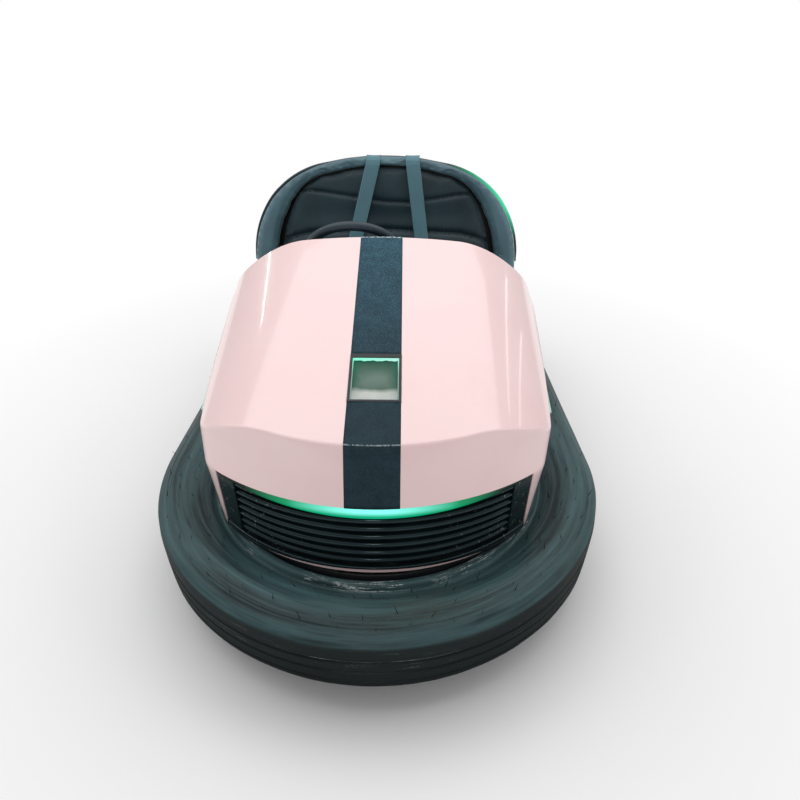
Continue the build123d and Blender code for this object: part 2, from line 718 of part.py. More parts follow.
# Seat: hollow base on the pan, and the cushion on it
with BuildPart() as seat_base:
    add(block(-SEAT_HALF, SEAT_HALF, SEAT_FRONT_Y, SEAT_REAR_Y, PAN_TOP, SEAT_TOP))
    fillet(seat_base.edges().filter_by(Axis.Z), SILL_ROUND)
    add(
        block(
            -SEAT_HALF + SHELL,
            SEAT_HALF - SHELL,
            SEAT_FRONT_Y + SHELL,
            SEAT_REAR_Y - SHELL,
            PAN_TOP,
            SEAT_TOP - SHELL,
        ),
        mode=Mode.SUBTRACT,
    )
save(seat_base, "seat_base")

with BuildPart() as seat_cushion:
    cushion_z = SEAT_TOP + SEAT_GAP
    cushion_top = cushion_z + CUSHION_HEIGHT
    add(block(-CUSHION_HALF, CUSHION_HALF, SEAT_FRONT_Y, SEAT_REAR_Y, cushion_z, cushion_top))
    fillet(seat_cushion.edges().filter_by(Axis.Z), CUSHION_ROUND)
    fillet(seat_cushion.faces().sort_by(Axis.Z)[-1].edges(), CUSHION_ROUND)
save(seat_cushion, "seat_cushion")

# Seat back: board, light strip round its edge, padded border and inner pad
with BuildPart() as back_board:
    with BuildSketch(back_plane(0)):
        add(arch_outline(BOARD_INSET, 0))
    extrude(amount=-BACK_BOARD)
save(back_board, "back_board")

with BuildPart() as back_led_strip:
    with BuildSketch(back_plane(0)):
        add(arch_outline(BOARD_INSET - LED_SIZE, 0))
        add(arch_outline(BOARD_INSET, -LED_SIZE), mode=Mode.SUBTRACT)
    extrude(amount=-BACK_BOARD)
save(back_led_strip, "back_led_strip")

with BuildPart() as back_border:
    with BuildSketch(back_plane(0)):
        add(arch_outline(0, 0))
        add(arch_outline(0, -LED_SIZE, BORDER_WIDTH), mode=Mode.SUBTRACT)
    extrude(amount=BORDER_DEPTH)
save(back_border, "back_border")

with BuildPart() as back_pad:
    with BuildSketch(back_plane(0)):
        add(arch_outline(SEAT_GAP, 0, BORDER_WIDTH))
    extrude(amount=PAD_DEPTH)
save(back_pad, "back_pad")

# Seat belts: flat webbing over the top of the back and down its front
for belt_name, (top_x, foot_x) in BELTS.items():
    base = back_plane(0)
    top = base.from_local_coords((top_x, BACK_HEIGHT, 0))
    along = base.from_local_coords((foot_x, BELT_END, 0)) - top
    lift = BORDER_DEPTH + BELT_THICKNESS / 2 + SEAT_GAP
    with BuildPart() as belt:
        with BuildSketch(Plane(origin=top, x_dir=along, z_dir=along.cross(base.z_dir))):
            with BuildLine():
                FilletPolyline(
                    (-BELT_STAND_OFF, -BACK_BOARD - BELT_TAIL),
                    (-BELT_STAND_OFF, lift),
                    (along.length, lift),
                    radius=BELT_BEND,
                )
            trace(line_width=BELT_THICKNESS)
        extrude(amount=BELT_WIDTH / 2, both=True)
    save(belt, belt_name)

# Side panels between the nose and the tail, on the deck
tilt = math.radians(BACK_TILT)
cheek_top = BACK_FOOT_Z - BACK_BOARD * math.sin(tilt) - SEAT_GAP
board_rear = BACK_FOOT_Y + (BACK_BOARD + SEAT_GAP) / math.cos(tilt)
back_line = board_rear - (BACK_FOOT_Z - cheek_top) * math.tan(tilt)
lean = LARGE * math.tan(tilt)
with BuildPart() as side_panels:
    add(body_form(0))
    add(body_form(SILL_WIDTH), mode=Mode.SUBTRACT)
    sill_top = BASE_Z + SILL_HEIGHT
    add(block(-LARGE, LARGE, COWL_Y + SEAT_GAP, REAR_CENTRE, BASE_Z, sill_top), mode=Mode.INTERSECT)
    sills = side_panels.faces().group_by(Axis.Z)[-1]
    sill_edges = [sorted(sill.edges(), key=lambda edge: abs(edge.center().X)) for sill in sills]
    fillet([edges[-1] for edges in sill_edges], SILL_ROUND)
for side, name in ((-1, "side_panel_left"), (1, "side_panel_right")):
    with BuildPart() as panel:
        add(side_panels.part)
        add(block(min(0, side * LARGE), max(0, side * LARGE), -LARGE, LARGE, 0, LARGE), mode=Mode.INTERSECT)
    save(panel, name)


def tail_form(inset):
    """Closed form of the tail behind the seat back, moved inwards by inset."""
    with BuildPart() as form:
        add(body_form(inset))
        add(block(-LARGE, LARGE, REAR_CENTRE + SEAT_GAP, LARGE, BASE_Z, LARGE), mode=Mode.INTERSECT)
        with BuildSketch(Plane.XZ.offset(-REAR_CENTRE)):
            with Locations((0, BACK_FOOT_Z)):
                add(arch_outline(BOARD_INSET + inset, BASE_Z - BACK_FOOT_Z))
        extrude(amount=-LARGE, mode=Mode.INTERSECT)
        with BuildSketch(Plane.YZ):
            with BuildLine():
                Polyline(
                    (back_line, cheek_top),
                    (back_line + lean, cheek_top + LARGE),
                    (0, cheek_top + LARGE),
                    (0, cheek_top),
                    close=True,
                )
            make_face()
        extrude(amount=LARGE, both=True, mode=Mode.SUBTRACT)
    return form.part


# Tail shell behind the seat back, open to the front
with BuildPart() as tail_shell:
    add(tail_form(0))
    add(tail_form(SHELL), mode=Mode.SUBTRACT)
save(tail_shell, "tail_shell")

# Tail lamps that follow the tail's surface
with BuildPart() as tail_lamps:
    with BuildSketch(Plane.XZ.offset(-REAR_CENTRE)):
        with Locations((-TAIL_LAMP_X, TAIL_LAMP_Z), (TAIL_LAMP_X, TAIL_LAMP_Z)):
            Circle(TAIL_LAMP_RADIUS)
    extrude(amount=-LARGE)
    add(body_form(-TAIL_LAMP_RISE), mode=Mode.INTERSECT)
    add(body_form(0), mode=Mode.SUBTRACT)
save(tail_lamps, "tail_lamps")

# Battery block behind the seat base
with BuildPart() as battery_block:
    battery_front = SEAT_REAR_Y + BATTERY_GAP
    battery_rear = battery_front + BATTERY_LENGTH
    add(block(-BATTERY_HALF, BATTERY_HALF, battery_front, battery_rear, PAN_TOP, PAN_TOP + BATTERY_HEIGHT))
save(battery_block, "battery_block")

# Rear axle: shaft through both rails, with a hanger plate outside each wheel
wheel_outer = REAR_X + REAR_WHEEL_WIDTH / 2
hanger_inner = wheel_outer + HANGER_WALL
with BuildPart() as rear_axle:
    with BuildSketch(Plane.YZ):
        with Locations((REAR_Y, REAR_WHEEL_RADIUS)):
            Circle(REAR_AXLE_RADIUS)
    extrude(amount=hanger_inner + HANGER_WALL + 4, both=True)
    for side in (-1, 1):
        inner = side * hanger_inner
        outer = side * (hanger_inner + HANGER_WALL)
        hanger_front = REAR_Y - HANGER_HALF
        hanger_rear = REAR_Y + HANGER_HALF
        add(block(min(inner, outer), max(inner, outer), hanger_front, hanger_rear, RAIL_Z, PAN_BOTTOM))
save(rear_axle, "rear_axle")

# Rear wheels, one on each end of the axle
for side, name in ((-1, "left"), (1, "right")):
    axis_plane = Plane(origin=(side * REAR_X, REAR_Y, REAR_WHEEL_RADIUS), x_dir=(0, 1, 0), z_dir=(side, 0, 0))
    boss_in = RAIL_X + RAIL_WIDTH / 2 + HUB_GAP - REAR_X
    boss_out = hanger_inner - HUB_GAP - REAR_X
    with BuildPart() as hub:
        rim = REAR_WHEEL_RADIUS - REAR_TREAD
        bore = REAR_AXLE_RADIUS + RUNNING_GAP
        add(wheel_hub(rim, REAR_WHEEL_WIDTH, bore, boss_in, boss_out, axis_plane))
    save(hub, f"rear_hub_{name}")
    with BuildPart() as tyre:
        add(wheel_tyre(REAR_WHEEL_RADIUS, REAR_WHEEL_WIDTH, REAR_TREAD, 4, axis_plane))
    save(tyre, f"rear_tyre_{name}")

# Drive unit: bridge over the well, fork that turns in it, gear motor and wheel
with BuildPart() as drive_bridge:
    leg_inner = WELL_RADIUS + 3
    leg_outer = leg_inner + BRIDGE_WALL
    bridge_front = DRIVE_Y - BRIDGE_LENGTH / 2
    bridge_rear = DRIVE_Y + BRIDGE_LENGTH / 2
    add(block(-leg_outer, leg_outer, bridge_front, bridge_rear, PAN_TOP, TURNTABLE_Z + BRIDGE_PLATE))
    add(block(-leg_inner, leg_inner, bridge_front, bridge_rear, 0, TURNTABLE_Z), mode=Mode.SUBTRACT)
    with BuildSketch(Plane.XY.offset(TURNTABLE_Z)):
        with Locations((0, DRIVE_Y)):
            Circle(PIVOT_RADIUS + RUNNING_GAP)
    extrude(amount=BRIDGE_PLATE, mode=Mode.SUBTRACT)
save(drive_bridge, "drive_bridge")

with BuildPart() as drive_fork:
    crown_top = TURNTABLE_Z - SEAT_GAP
    with BuildSketch(Plane.XY.offset(crown_top)):
        with Locations((0, DRIVE_Y)):
            Circle(TURNTABLE_RADIUS)
    extrude(amount=-CROWN_PLATE)
    with BuildSketch(Plane.XY.offset(crown_top)):
        with Locations((0, DRIVE_Y)):
            Circle(PIVOT_RADIUS)
    extrude(amount=SEAT_GAP + BRIDGE_PLATE + PIVOT_RISE)
    for side in (-1, 1):
        low = min(side * FORK_INNER, side * FORK_OUTER)
        half = FORK_WIDTH / 2
        add(block(low, low + FORK_WALL, DRIVE_Y - half, DRIVE_Y + half, DRIVE_WHEEL_RADIUS, crown_top))
    with BuildSketch(Plane.YZ.offset(-FORK_OUTER)):
        with Locations((DRIVE_Y, DRIVE_WHEEL_RADIUS)):
            Circle(FORK_WIDTH / 2)
    extrude(amount=2 * FORK_OUTER)
    add(block(-FORK_INNER, FORK_INNER, -HALF_LENGTH, 0, 0, crown_top - CROWN_PLATE), mode=Mode.SUBTRACT)
    with BuildSketch(Plane.YZ.offset(-FORK_OUTER - FORK_WALL)):
        with Locations((DRIVE_Y, DRIVE_WHEEL_RADIUS)):
            Circle(DRIVE_AXLE_RADIUS)
    extrude(amount=2 * FORK_OUTER + FORK_WALL)
save(drive_fork, "drive_fork")

with BuildPart() as drive_motor:
    with BuildSketch(Plane.YZ.offset(FORK_OUTER)):
        with Locations((DRIVE_Y, DRIVE_WHEEL_RADIUS)):
            Circle(MOTOR_RADIUS)
    extrude(amount=MOTOR_LENGTH)
    chamfer(drive_motor.edges().group_by(Axis.X)[-1], MOTOR_CHAMFER)
    with BuildSketch(Plane.YZ.offset(FORK_OUTER + MOTOR_LENGTH)):
        with Locations((DRIVE_Y, DRIVE_WHEEL_RADIUS)):
            Circle(MOTOR_CAP_RADIUS)
    extrude(amount=MOTOR_CAP)
save(drive_motor, "drive_motor")

drive_axis = Plane(origin=(0, DRIVE_Y, DRIVE_WHEEL_RADIUS), x_dir=(0, 1, 0), z_dir=(1, 0, 0))
with BuildPart() as drive_hub:
    rim = DRIVE_WHEEL_RADIUS - DRIVE_TREAD
    reach = FORK_INNER - HUB_GAP
    add(wheel_hub(rim, DRIVE_WHEEL_WIDTH, DRIVE_AXLE_RADIUS + RUNNING_GAP, -reach, reach, drive_axis))
save(drive_hub, "drive_hub")

with BuildPart() as drive_tyre:
    add(wheel_tyre(DRIVE_WHEEL_RADIUS, DRIVE_WHEEL_WIDTH, DRIVE_TREAD, 5, drive_axis))
save(drive_tyre, "drive_tyre")
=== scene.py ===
import json
import math

import bmesh
import bpy
import numpy as np
from mathutils import Matrix, Vector
from mathutils.bvhtree import BVHTree


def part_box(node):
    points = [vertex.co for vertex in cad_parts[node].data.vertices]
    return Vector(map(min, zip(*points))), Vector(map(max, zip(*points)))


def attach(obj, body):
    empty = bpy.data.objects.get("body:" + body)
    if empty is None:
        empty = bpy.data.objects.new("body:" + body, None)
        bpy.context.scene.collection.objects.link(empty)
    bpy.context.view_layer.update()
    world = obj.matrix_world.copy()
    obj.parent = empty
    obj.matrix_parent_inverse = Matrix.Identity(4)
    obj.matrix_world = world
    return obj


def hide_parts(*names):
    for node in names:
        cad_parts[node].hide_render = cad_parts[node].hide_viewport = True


# Bumper car. Metres. X is across, -Y is the nose, +Z up, the origin is on the floor.

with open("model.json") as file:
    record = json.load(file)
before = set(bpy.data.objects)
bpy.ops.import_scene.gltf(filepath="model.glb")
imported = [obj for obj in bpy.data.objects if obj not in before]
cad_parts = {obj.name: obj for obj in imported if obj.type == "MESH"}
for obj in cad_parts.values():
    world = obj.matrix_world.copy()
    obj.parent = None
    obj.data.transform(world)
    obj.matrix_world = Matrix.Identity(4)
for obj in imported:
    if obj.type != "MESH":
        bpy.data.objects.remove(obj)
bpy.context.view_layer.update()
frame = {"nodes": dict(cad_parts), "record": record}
NODES = frame["nodes"]
SLOT_OF_NODE = {row["node"]: row["material_slot"] for row in frame["record"]["subparts"]}

# Sizes read from the frame
TYRE_LOW, TYRE_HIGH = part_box("bumper_tyre")
NOSE_LOW, NOSE_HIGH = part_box("nose_shell")
LED_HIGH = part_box("front_led_strip")[1]

# The photograph's camera
CAMERA_PLACE = (0.059, -1.72, 1.352)
CAMERA_YAW = 0.08
CAMERA_PITCH = 33.2
CAMERA_ROLL = 0.51
CAMERA_SENSOR = 36.0
CAMERA_LENS = 27.9

# Lamps. Columns: name, place, width and height, turn about its own axis, power, what it looks at
LAMPS = [
    ("ceiling", (-0.1, 0.5, 3.6), (6.4, 4.0), 0, 105.0, (0, 0, 0.3)),
    ("left", (-3.0, 0.2, 2.2), (1.6, 2.4), 0, 7.0, (0, -0.1, 0.5)),
    ("right", (3.0, -0.3, 2.1), (1.6, 2.4), 0, 8.0, (0, -0.2, 0.5)),
    ("front", (-0.15, -3.0, 2.9), (0.35, 0.20), 0, 6.0, (0, -0.6, 0.3)),
    ("left streak", (-2.08, 1.95, 1.85), (0.07, 0.8), -46, 1.1, (-0.33, -0.15, 0.74)),
    ("right streak", (2.28, 1.60, 1.87), (0.06, 1.3), 46, 0.7, (0.36, -0.35, 0.66)),
    ("second right streak", (2.50, 1.30, 1.62), (0.05, 1.3), 46, 0.5, (0.36, -0.35, 0.66)),
]
WORLD_LIGHT = 0.40
FLOOR_HALF = 20

# The tyre and its seat: two arcs joined by tangent sides
HALF_LENGTH = TYRE_HIGH.y
FRONT_RADIUS = TYRE_HIGH.x
REAR_RADIUS = FRONT_RADIUS - 0.030
TYRE_WIDTH = 0.185
FRONT_SEAT = FRONT_RADIUS - TYRE_WIDTH
REAR_SEAT = REAR_RADIUS - TYRE_WIDTH
FRONT_CENTRE = FRONT_RADIUS - HALF_LENGTH
REAR_CENTRE = HALF_LENGTH - REAR_RADIUS
SIDE_LEAN = math.asin((FRONT_RADIUS - REAR_RADIUS) / (REAR_CENTRE - FRONT_CENTRE))
TYRE_MIDDLE = (TYRE_LOW.z + TYRE_HIGH.z) / 2
TYRE_HALF_HEIGHT = (TYRE_HIGH.z - TYRE_LOW.z) / 2
BEAD_HALF = 0.043
TREAD_OUT = 0.1825
TREAD_TUCK = 0.012
TYRE_WOBBLE = 0.0040
WOBBLE_SCALE = 5.0
ARC_STEPS = 120
SIDE_STEPS = 24

# The body shell
BASE_Z = NOSE_LOW.z
COWL_Y = NOSE_HIGH.y
COWL_Z = NOSE_HIGH.z
BONNET_SLOPE = 0.265
SHELL = 0.005
CREASE_ROUND = 0.006
CREASE_Y = -0.6993
STRIPE_HALF = 0.060
STRIPE_THICKNESS = 0.0005
WINDOW_FRONT = -0.5825
WINDOW_REAR = -0.4355
PANE_FRONT = WINDOW_FRONT + 0.006
PANE_REAR = WINDOW_REAR - 0.012
PANE_HALF = STRIPE_HALF - 0.0055
GRILLE_HALF = FRONT_SEAT - 0.049
GRILLE_FOOT = BASE_Z + 0.014
GRILLE_TOP = GRILLE_FOOT + 0.170
CHEEK_PLATE = 0.046
LIP_HEIGHT = 0.0100
LIP_HALF = 0.30
SLAT_COUNT = 7
SIDE_LIGHT_Z = 0.505
SIDE_LIGHT_Y = -0.475

# Plan of the body at four heights. Columns: rise above the base, nose out, corner out,
# corner ahead of the front centre, cowl out, hip out, tail out
BODY_SECTIONS = np.array([
    (0, -10, -39, 240, -3, 17, -13),
    (185, -21, -15, 242, 35, 55, -15),
    (260, -43, 1, 188, 53, 71, -27),
    (650, -181, 1, 100, 53, 71, -190),
]) / 1000

# Profile of the bonnet: crown, bevel and flank, each joined by a round.
# Columns: half width, drop below the crown's middle, radius of the round there
BONNET_PROFILE = [
    (FRONT_SEAT - 0.083, 0.025, 0.300),
    (FRONT_SEAT + 0.015, 0.131, 0.070),
    (FRONT_SEAT + 0.275, 0.729, 0.0),
]

# Counts of the nose's grid: columns from its middle to the corner, rows from the crease to the cowl
CORE_COLUMNS = 10
GRILLE_COLUMNS = 34
CORNER_COLUMNS = 6
NOSE_LAST = CORE_COLUMNS + GRILLE_COLUMNS + CORNER_COLUMNS
FRONT_ROWS = 14
WINDOW_ROWS = 10
REAR_ROWS = 44
BONNET_ROWS = FRONT_ROWS + WINDOW_ROWS + REAR_ROWS
GRILLE_ROWS = 15
UPPER_ROWS = 12
ROUND_STEPS = 5
CORNER_REACH = 4
CORNER_PATCH = 12
CORNER_PASSES = 120
SEAM = 5e-5

# The seat back's own directions, the foot of its board, and the step of the pads' even meshes
SEAT_TILT = math.radians(12)
SEAT_UP = np.array([0.0, math.sin(SEAT_TILT), math.cos(SEAT_TILT)])
SEAT_OUT = np.array([0.0, -math.cos(SEAT_TILT), math.sin(SEAT_TILT)])
SEAT_FOOT = np.array([0.0, 0.470, 0.432])
SEAT_VOXEL = 0.006


# Values in node trees

def linear(red, green, blue):
    """Linear colour from the 0 to 255 values that a screen shows."""
    def one(value):
        share = value / 255
        return share / 12.92 if share <= 0.04045 else ((share + 0.055) / 1.055) ** 2.4
    return (one(red), one(green), one(blue), 1.0)


def add_node(tree, kind, inputs=None, **settings):
    """Adds a node, with its settings and its inputs given as values or as links."""
    made = tree.nodes.new(kind)
    for name, value in settings.items():
        setattr(made, name, value)
    for key, value in (inputs or {}).items():
        value = getattr(value, "socket", value)
        if isinstance(value, bpy.types.NodeSocket):
            tree.links.new(value, made.inputs[key])
        else:
            made.inputs[key].default_value = value
    return made


class Value:
    """A value in a shader's node tree. Formulas with it add the nodes that they need."""

    def __init__(self, socket):
        self.socket = socket
        self.tree = socket.id_data

    def feed(self, output, kind, inputs, **settings):
        """One output of a new node in the same tree."""
        return Value(add_node(self.tree, kind, inputs, **settings).outputs[output])

    def maths(self, operation, other=0.0, clamp=False):
        """This value and another through one Math node."""
        return self.feed(0, "ShaderNodeMath", {0: self, 1: other}, operation=operation, use_clamp=clamp)

    def __add__(self, other):
        return self.maths("ADD", other)

    def __sub__(self, other):
        return self.maths("SUBTRACT", other)

    def __mul__(self, other):
        return self.maths("MULTIPLY", other)

    def __abs__(self):
        return self.maths("ABSOLUTE")

    def most(self, other):
        """The greater of this value and another."""
        return self.maths("MAXIMUM", other)

    def ramp(self, low, high, out_low=0.0, out_high=1.0):
        """This value taken from one range to another, clamped."""
        ends = {"Value": self, "From Min": low, "From Max": high, "To Min": out_low, "To Max": out_high}
        return self.feed(0, "ShaderNodeMapRange", ends)

    def mix(self, first, second):
        """Two colours mixed by this value. Three plain numbers are a colour as a screen shows it."""
        ends = [linear(*end) if isinstance(end, tuple) and len(end) == 3 else end for end in (first, second)]
        return self.feed(2, "ShaderNodeMix", {0: self, 6: ends[0], 7: ends[1]}, data_type="RGBA")

    def blend(self, first, second):
        """Two numbers mixed by this value."""
        return self.feed(0, "ShaderNodeMix", {0: self, 2: first, 3: second}, data_type="FLOAT")

    def noise(self, scale, detail=3.0, roughness=0.5):
        """A noise value at this place."""
        inputs = {"Vector": self, "Scale": scale, "Detail": detail, "Roughness": roughness}
        return self.feed("Fac", "ShaderNodeTexNoise", inputs)

    def mapped(self, scale, shift=(0, 0, 0)):
        """This place, stretched and shifted."""
        return self.feed(0, "ShaderNodeMapping", {"Vector": self, "Location": shift, "Scale": scale})

    def split(self):
        """The three parts of this place or colour."""
        return [Value(part) for part in add_node(self.tree, "ShaderNodeSeparateXYZ", {0: self}).outputs]


def joined(x, y, z):
    """A place from three values."""
    return x.feed(0, "ShaderNodeCombineXYZ", {0: x, 1: y, 2: z})


def place_in(tree, kind="Object"):
    """The piece's own coordinates."""
    return Value(add_node(tree, "ShaderNodeTexCoord").outputs[kind])


def new_group(name, kind, inputs, outputs):
    """A node group, its given inputs and its outputs to fill. Each socket is a name and a kind."""
    tree = bpy.data.node_groups.new(name, kind)
    for way, sockets in (("INPUT", inputs), ("OUTPUT", outputs)):
        for label, socket in sockets:
            tree.interface.new_socket(name=label, in_out=way, socket_type="NodeSocket" + socket)
    return tree, tree.nodes.new("NodeGroupInput").outputs, tree.nodes.new("NodeGroupOutput").inputs


# Shader groups

def shader_group(name, inputs, outputs, build):
    """A shader group of numbers. build returns its outputs by name."""
    sockets = [[(label, "Float") for label in labels] for labels in (inputs, outputs)]
    tree, given, made = new_group(name, "ShaderNodeTree", *sockets)
    for label, value in build(tree, given).items():
        tree.links.new(value.socket, made[label])
    return tree


def build_dust(tree, given):
    """Dust that settles on upward faces in soft patches, and thin scuffs."""
    place = place_in(tree)
    upward = Value(add_node(tree, "ShaderNodeNewGeometry").outputs["Normal"]).split()[2]
    patches = place.noise(given["Patch Scale"], 4.0, 0.6).ramp(0.46, 0.72)
    speckle = place.noise(340.0, 2.0, 0.7).ramp(0.35, 0.75, 0.45, 1.0)
    dust = patches * speckle * upward.ramp(-0.1, 0.9, 0.25, 1.0)
    lines = place.mapped((60.0, 60.0, 900.0)).noise(1.0, 3.0, 0.65).ramp(0.62, 0.70)
    worn = place.noise(9.0, 3.0, 0.6).ramp(0.52, 0.66)
    return {
        "Dust": dust.maths("MULTIPLY", given["Dust"], clamp=True),
        "Scuff": (lines * worn).maths("MULTIPLY", given["Scuffs"], clamp=True),
    }


def build_leather(tree, given):
    """Pebbled grain of coated cloth: raised cells with fine creases between them."""
    place = place_in(tree)
    inputs = {"Vector": place, "Scale": given["Cells"]}
    cells = place.feed("Distance", "ShaderNodeTexVoronoi", inputs, feature="SMOOTH_F1")
    return {"Height": cells * -0.7 + place.noise(90.0, 4.0, 0.6) * 0.6, "Cloud": place.noise(7.0)}


def build_webbing(tree, given):
    """Woven webbing: ribs across and rows of yarn along, from the strap's own UV map in metres."""
    place = place_in(tree, "UV")
    across, along = place.split()[:2]
    fuzz = place.noise(900.0, 2.0, 0.7)
    weave = (across * given["Ribs"]).maths("SINE") * 0.6 + (along * given["Yarns"]).maths("SINE") * 0.4
    return {"Height": weave + fuzz * 0.5, "Fuzz": fuzz}


def build_orange_peel(tree, given):
    """The faint ripple of sprayed or moulded gloss, with fine wiping marks."""
    place = place_in(tree)
    return {
        "Height": place.noise(given["Ripple"], 2.0),
        "Marks": place.noise(700.0, 2.0, 0.6).ramp(0.3, 0.8),
        "Haze": place.noise(6.0, 4.0, 0.6).ramp(0.35, 0.7),
    }


DUST = shader_group("dust_and_scuffs", ["Patch Scale", "Dust", "Scuffs"], ["Dust", "Scuff"], build_dust)
LEATHER = shader_group("leather_grain", ["Cells"], ["Height", "Cloud"], build_leather)
WEBBING = shader_group("woven_webbing", ["Ribs", "Yarns"], ["Height", "Fuzz"], build_webbing)
ORANGE_PEEL = shader_group("orange_peel", ["Ripple"], ["Height", "Marks", "Haze"], build_orange_peel)


# Materials

class Finish:
    """A material in the making. Its shader's plain values are given by socket name."""

    def __init__(self, name, **values):
        self.material = bpy.data.materials.new(name)
        self.material.use_nodes = True
        self.tree = self.material.node_tree
        self.shader = self.tree.nodes["Principled BSDF"]
        for key, value in values.items():
            self.shader.inputs[key.replace("_", " ")].default_value = value

    def place(self):
        """The piece's own coordinates."""
        return place_in(self.tree)

    def group(self, group, **inputs):
        """A shader group's outputs by name."""
        named = {key.replace("_", " "): value for key, value in inputs.items()}
        made = add_node(self.tree, "ShaderNodeGroup", named, node_tree=group)
        return {socket.name: Value(socket) for socket in made.outputs}

    def link(self, **values):
        """Links values to the shader's inputs."""
        for key, value in values.items():
            self.tree.links.new(value.socket, self.shader.inputs[key.replace("_", " ")])

    def bump(self, height, distance, strength):
        """Feeds a height to the shader's normal, and ends the material."""
        inputs = {"Height": height, "Distance": distance, "Strength": strength}
        self.link(Normal=height.feed("Normal", "ShaderNodeBump", inputs))
        return self.material

    def glow(self, colour, strength):
        """A colour that also shines, and ends the material."""
        self.link(Base_Color=colour, Emission_Color=colour)
        self.shader.inputs["Emission Strength"].default_value = strength
        return self.material


def gel_coat():
    """Pastel pink gel coat: glossy, with a faint ripple and a little grime."""
    finish = Finish("gel_coat", Coat_Weight=0.6, Coat_Roughness=0.04, IOR=1.5)
    peel = finish.group(ORANGE_PEEL, Ripple=26.0)
    dirt = finish.group(DUST, Patch_Scale=3.0, Dust=0.10, Scuffs=0.25)
    clean = peel["Haze"].mix((248, 215, 215), (250, 221, 220))
    dusty = dirt["Dust"].mix(clean, (186, 166, 150))
    finish.link(
        Base_Color=dirt["Scuff"].mix(dusty, (216, 186, 184)),
        Roughness=peel["Marks"].ramp(0.0, 1.0, 0.20, 0.27),
    )
    return finish.bump(peel["Height"], 0.0006, 0.25)


def glass_fibre():
    """Raw inside of the moulding: grey resin over chopped strands."""
    finish = Finish("glass_fibre", IOR=1.5)
    strands = finish.place().noise(130.0, 5.0, 0.7)
    finish.link(
        Base_Color=strands.mix((66, 64, 62), (112, 108, 104)), Roughness=strands.ramp(0.2, 0.8, 0.42, 0.7),
    )
    return finish.bump(strands, 0.002, 0.7)


def glitter_band():
    """Blue-black band with fine glitter, lighter and bluer towards the cowl as painted sheen, its pale flakes
    painted glints, with frayed painted highlights along its rear edge and its crease.
    """
    finish = Finish("glitter_band", Specular_IOR_Level=0.15, IOR=1.45)
    place = finish.place()
    x, along, z = place.split()
    flakes = place.feed("Color", "ShaderNodeTexVoronoi", {"Vector": place, "Scale": 760.0})
    sparkle, gloss, tilt = flakes.split()
    # Painted sheen: towards the cowl the band's tone turns lighter and bluer, and more flakes are painted pale
    # as glints.
    back = along.ramp(-0.62, 0.02)
    lit = sparkle.ramp(0.66, 1.0) * back.ramp(0.0, 1.0, 0.10, 0.60)
    worn = place.noise(30.0, 4.0, 0.6).ramp(0.35, 0.7)
    front = worn.mix((29, 47, 55), (36, 56, 65))
    rear = worn.mix((32, 64, 78), (45, 83, 100))
    base = lit.mix(back.mix(front, rear), (104, 146, 162))
    # Painted highlights along the rear edge over the cowl's lip and along the crease, broken up to look frayed.
    frayed = place.noise(150.0, 3.0, 0.7).ramp(0.40, 0.56)
    rear_edge_highlight = along.ramp(COWL_Y - 0.0050, COWL_Y - 0.0030) * frayed
    from_crease = abs(along - x * x * 0.86 - CREASE_Y)
    pale = rear_edge_highlight.most(from_crease.ramp(0.0008, 0.0016, 0.45, 0.0) * frayed)
    finish.link(Base_Color=pale.mix(base, (206, 216, 222)), Roughness=gloss.ramp(0.0, 1.0, 0.40, 0.62))
    return finish.bump(tilt, 0.0004, 0.4)


def gloss_black():
    """Gloss black plastic with dust in soft patches."""
    finish = Finish("gloss_black", Coat_Weight=0.5, Coat_Roughness=0.05, IOR=1.5)
    peel = finish.group(ORANGE_PEEL, Ripple=40.0)
    dirt = finish.group(DUST, Patch_Scale=16.0, Dust=0.35, Scuffs=0.7)
    dusty = dirt["Dust"].mix(peel["Haze"].mix((20, 22, 24), (27, 29, 31)), (92, 92, 90))
    finish.link(Base_Color=dirt["Scuff"].mix(dusty, (140, 142, 142)), Roughness=dirt["Dust"].blend(0.16, 0.6))
    return finish.bump(peel["Height"], 0.0005, 0.25)


def slat_gloss():
    """Deep gloss black of the grille, with a few pale scratches near the ends of the slats."""
    finish = Finish(
        "slat_gloss", Coat_Weight=0.22, Coat_Roughness=0.04, Specular_IOR_Level=0.50,
        Specular_Tint=linear(170, 205, 215), IOR=1.45, Roughness=0.14,
    )
    place = finish.place()
    away = abs(place.split()[0]).ramp(0.12, 0.33)
    marks = place.noise(70.0, 4.0, 0.7).ramp(0.60, 0.68)
    specks = place.noise(330.0, 3.0, 0.7).ramp(0.50, 0.60)
    haze = place.noise(9.0, 4.0, 0.6).ramp(0.45, 0.75, 0.0, 0.45)
    base = haze.mix((17, 29, 31), (35, 52, 54))
    finish.link(Base_Color=(marks * specks * away).mix(base, (190, 196, 196)))
    return finish.bump(place.noise(40.0, 2.0), 0.0006, 0.3)


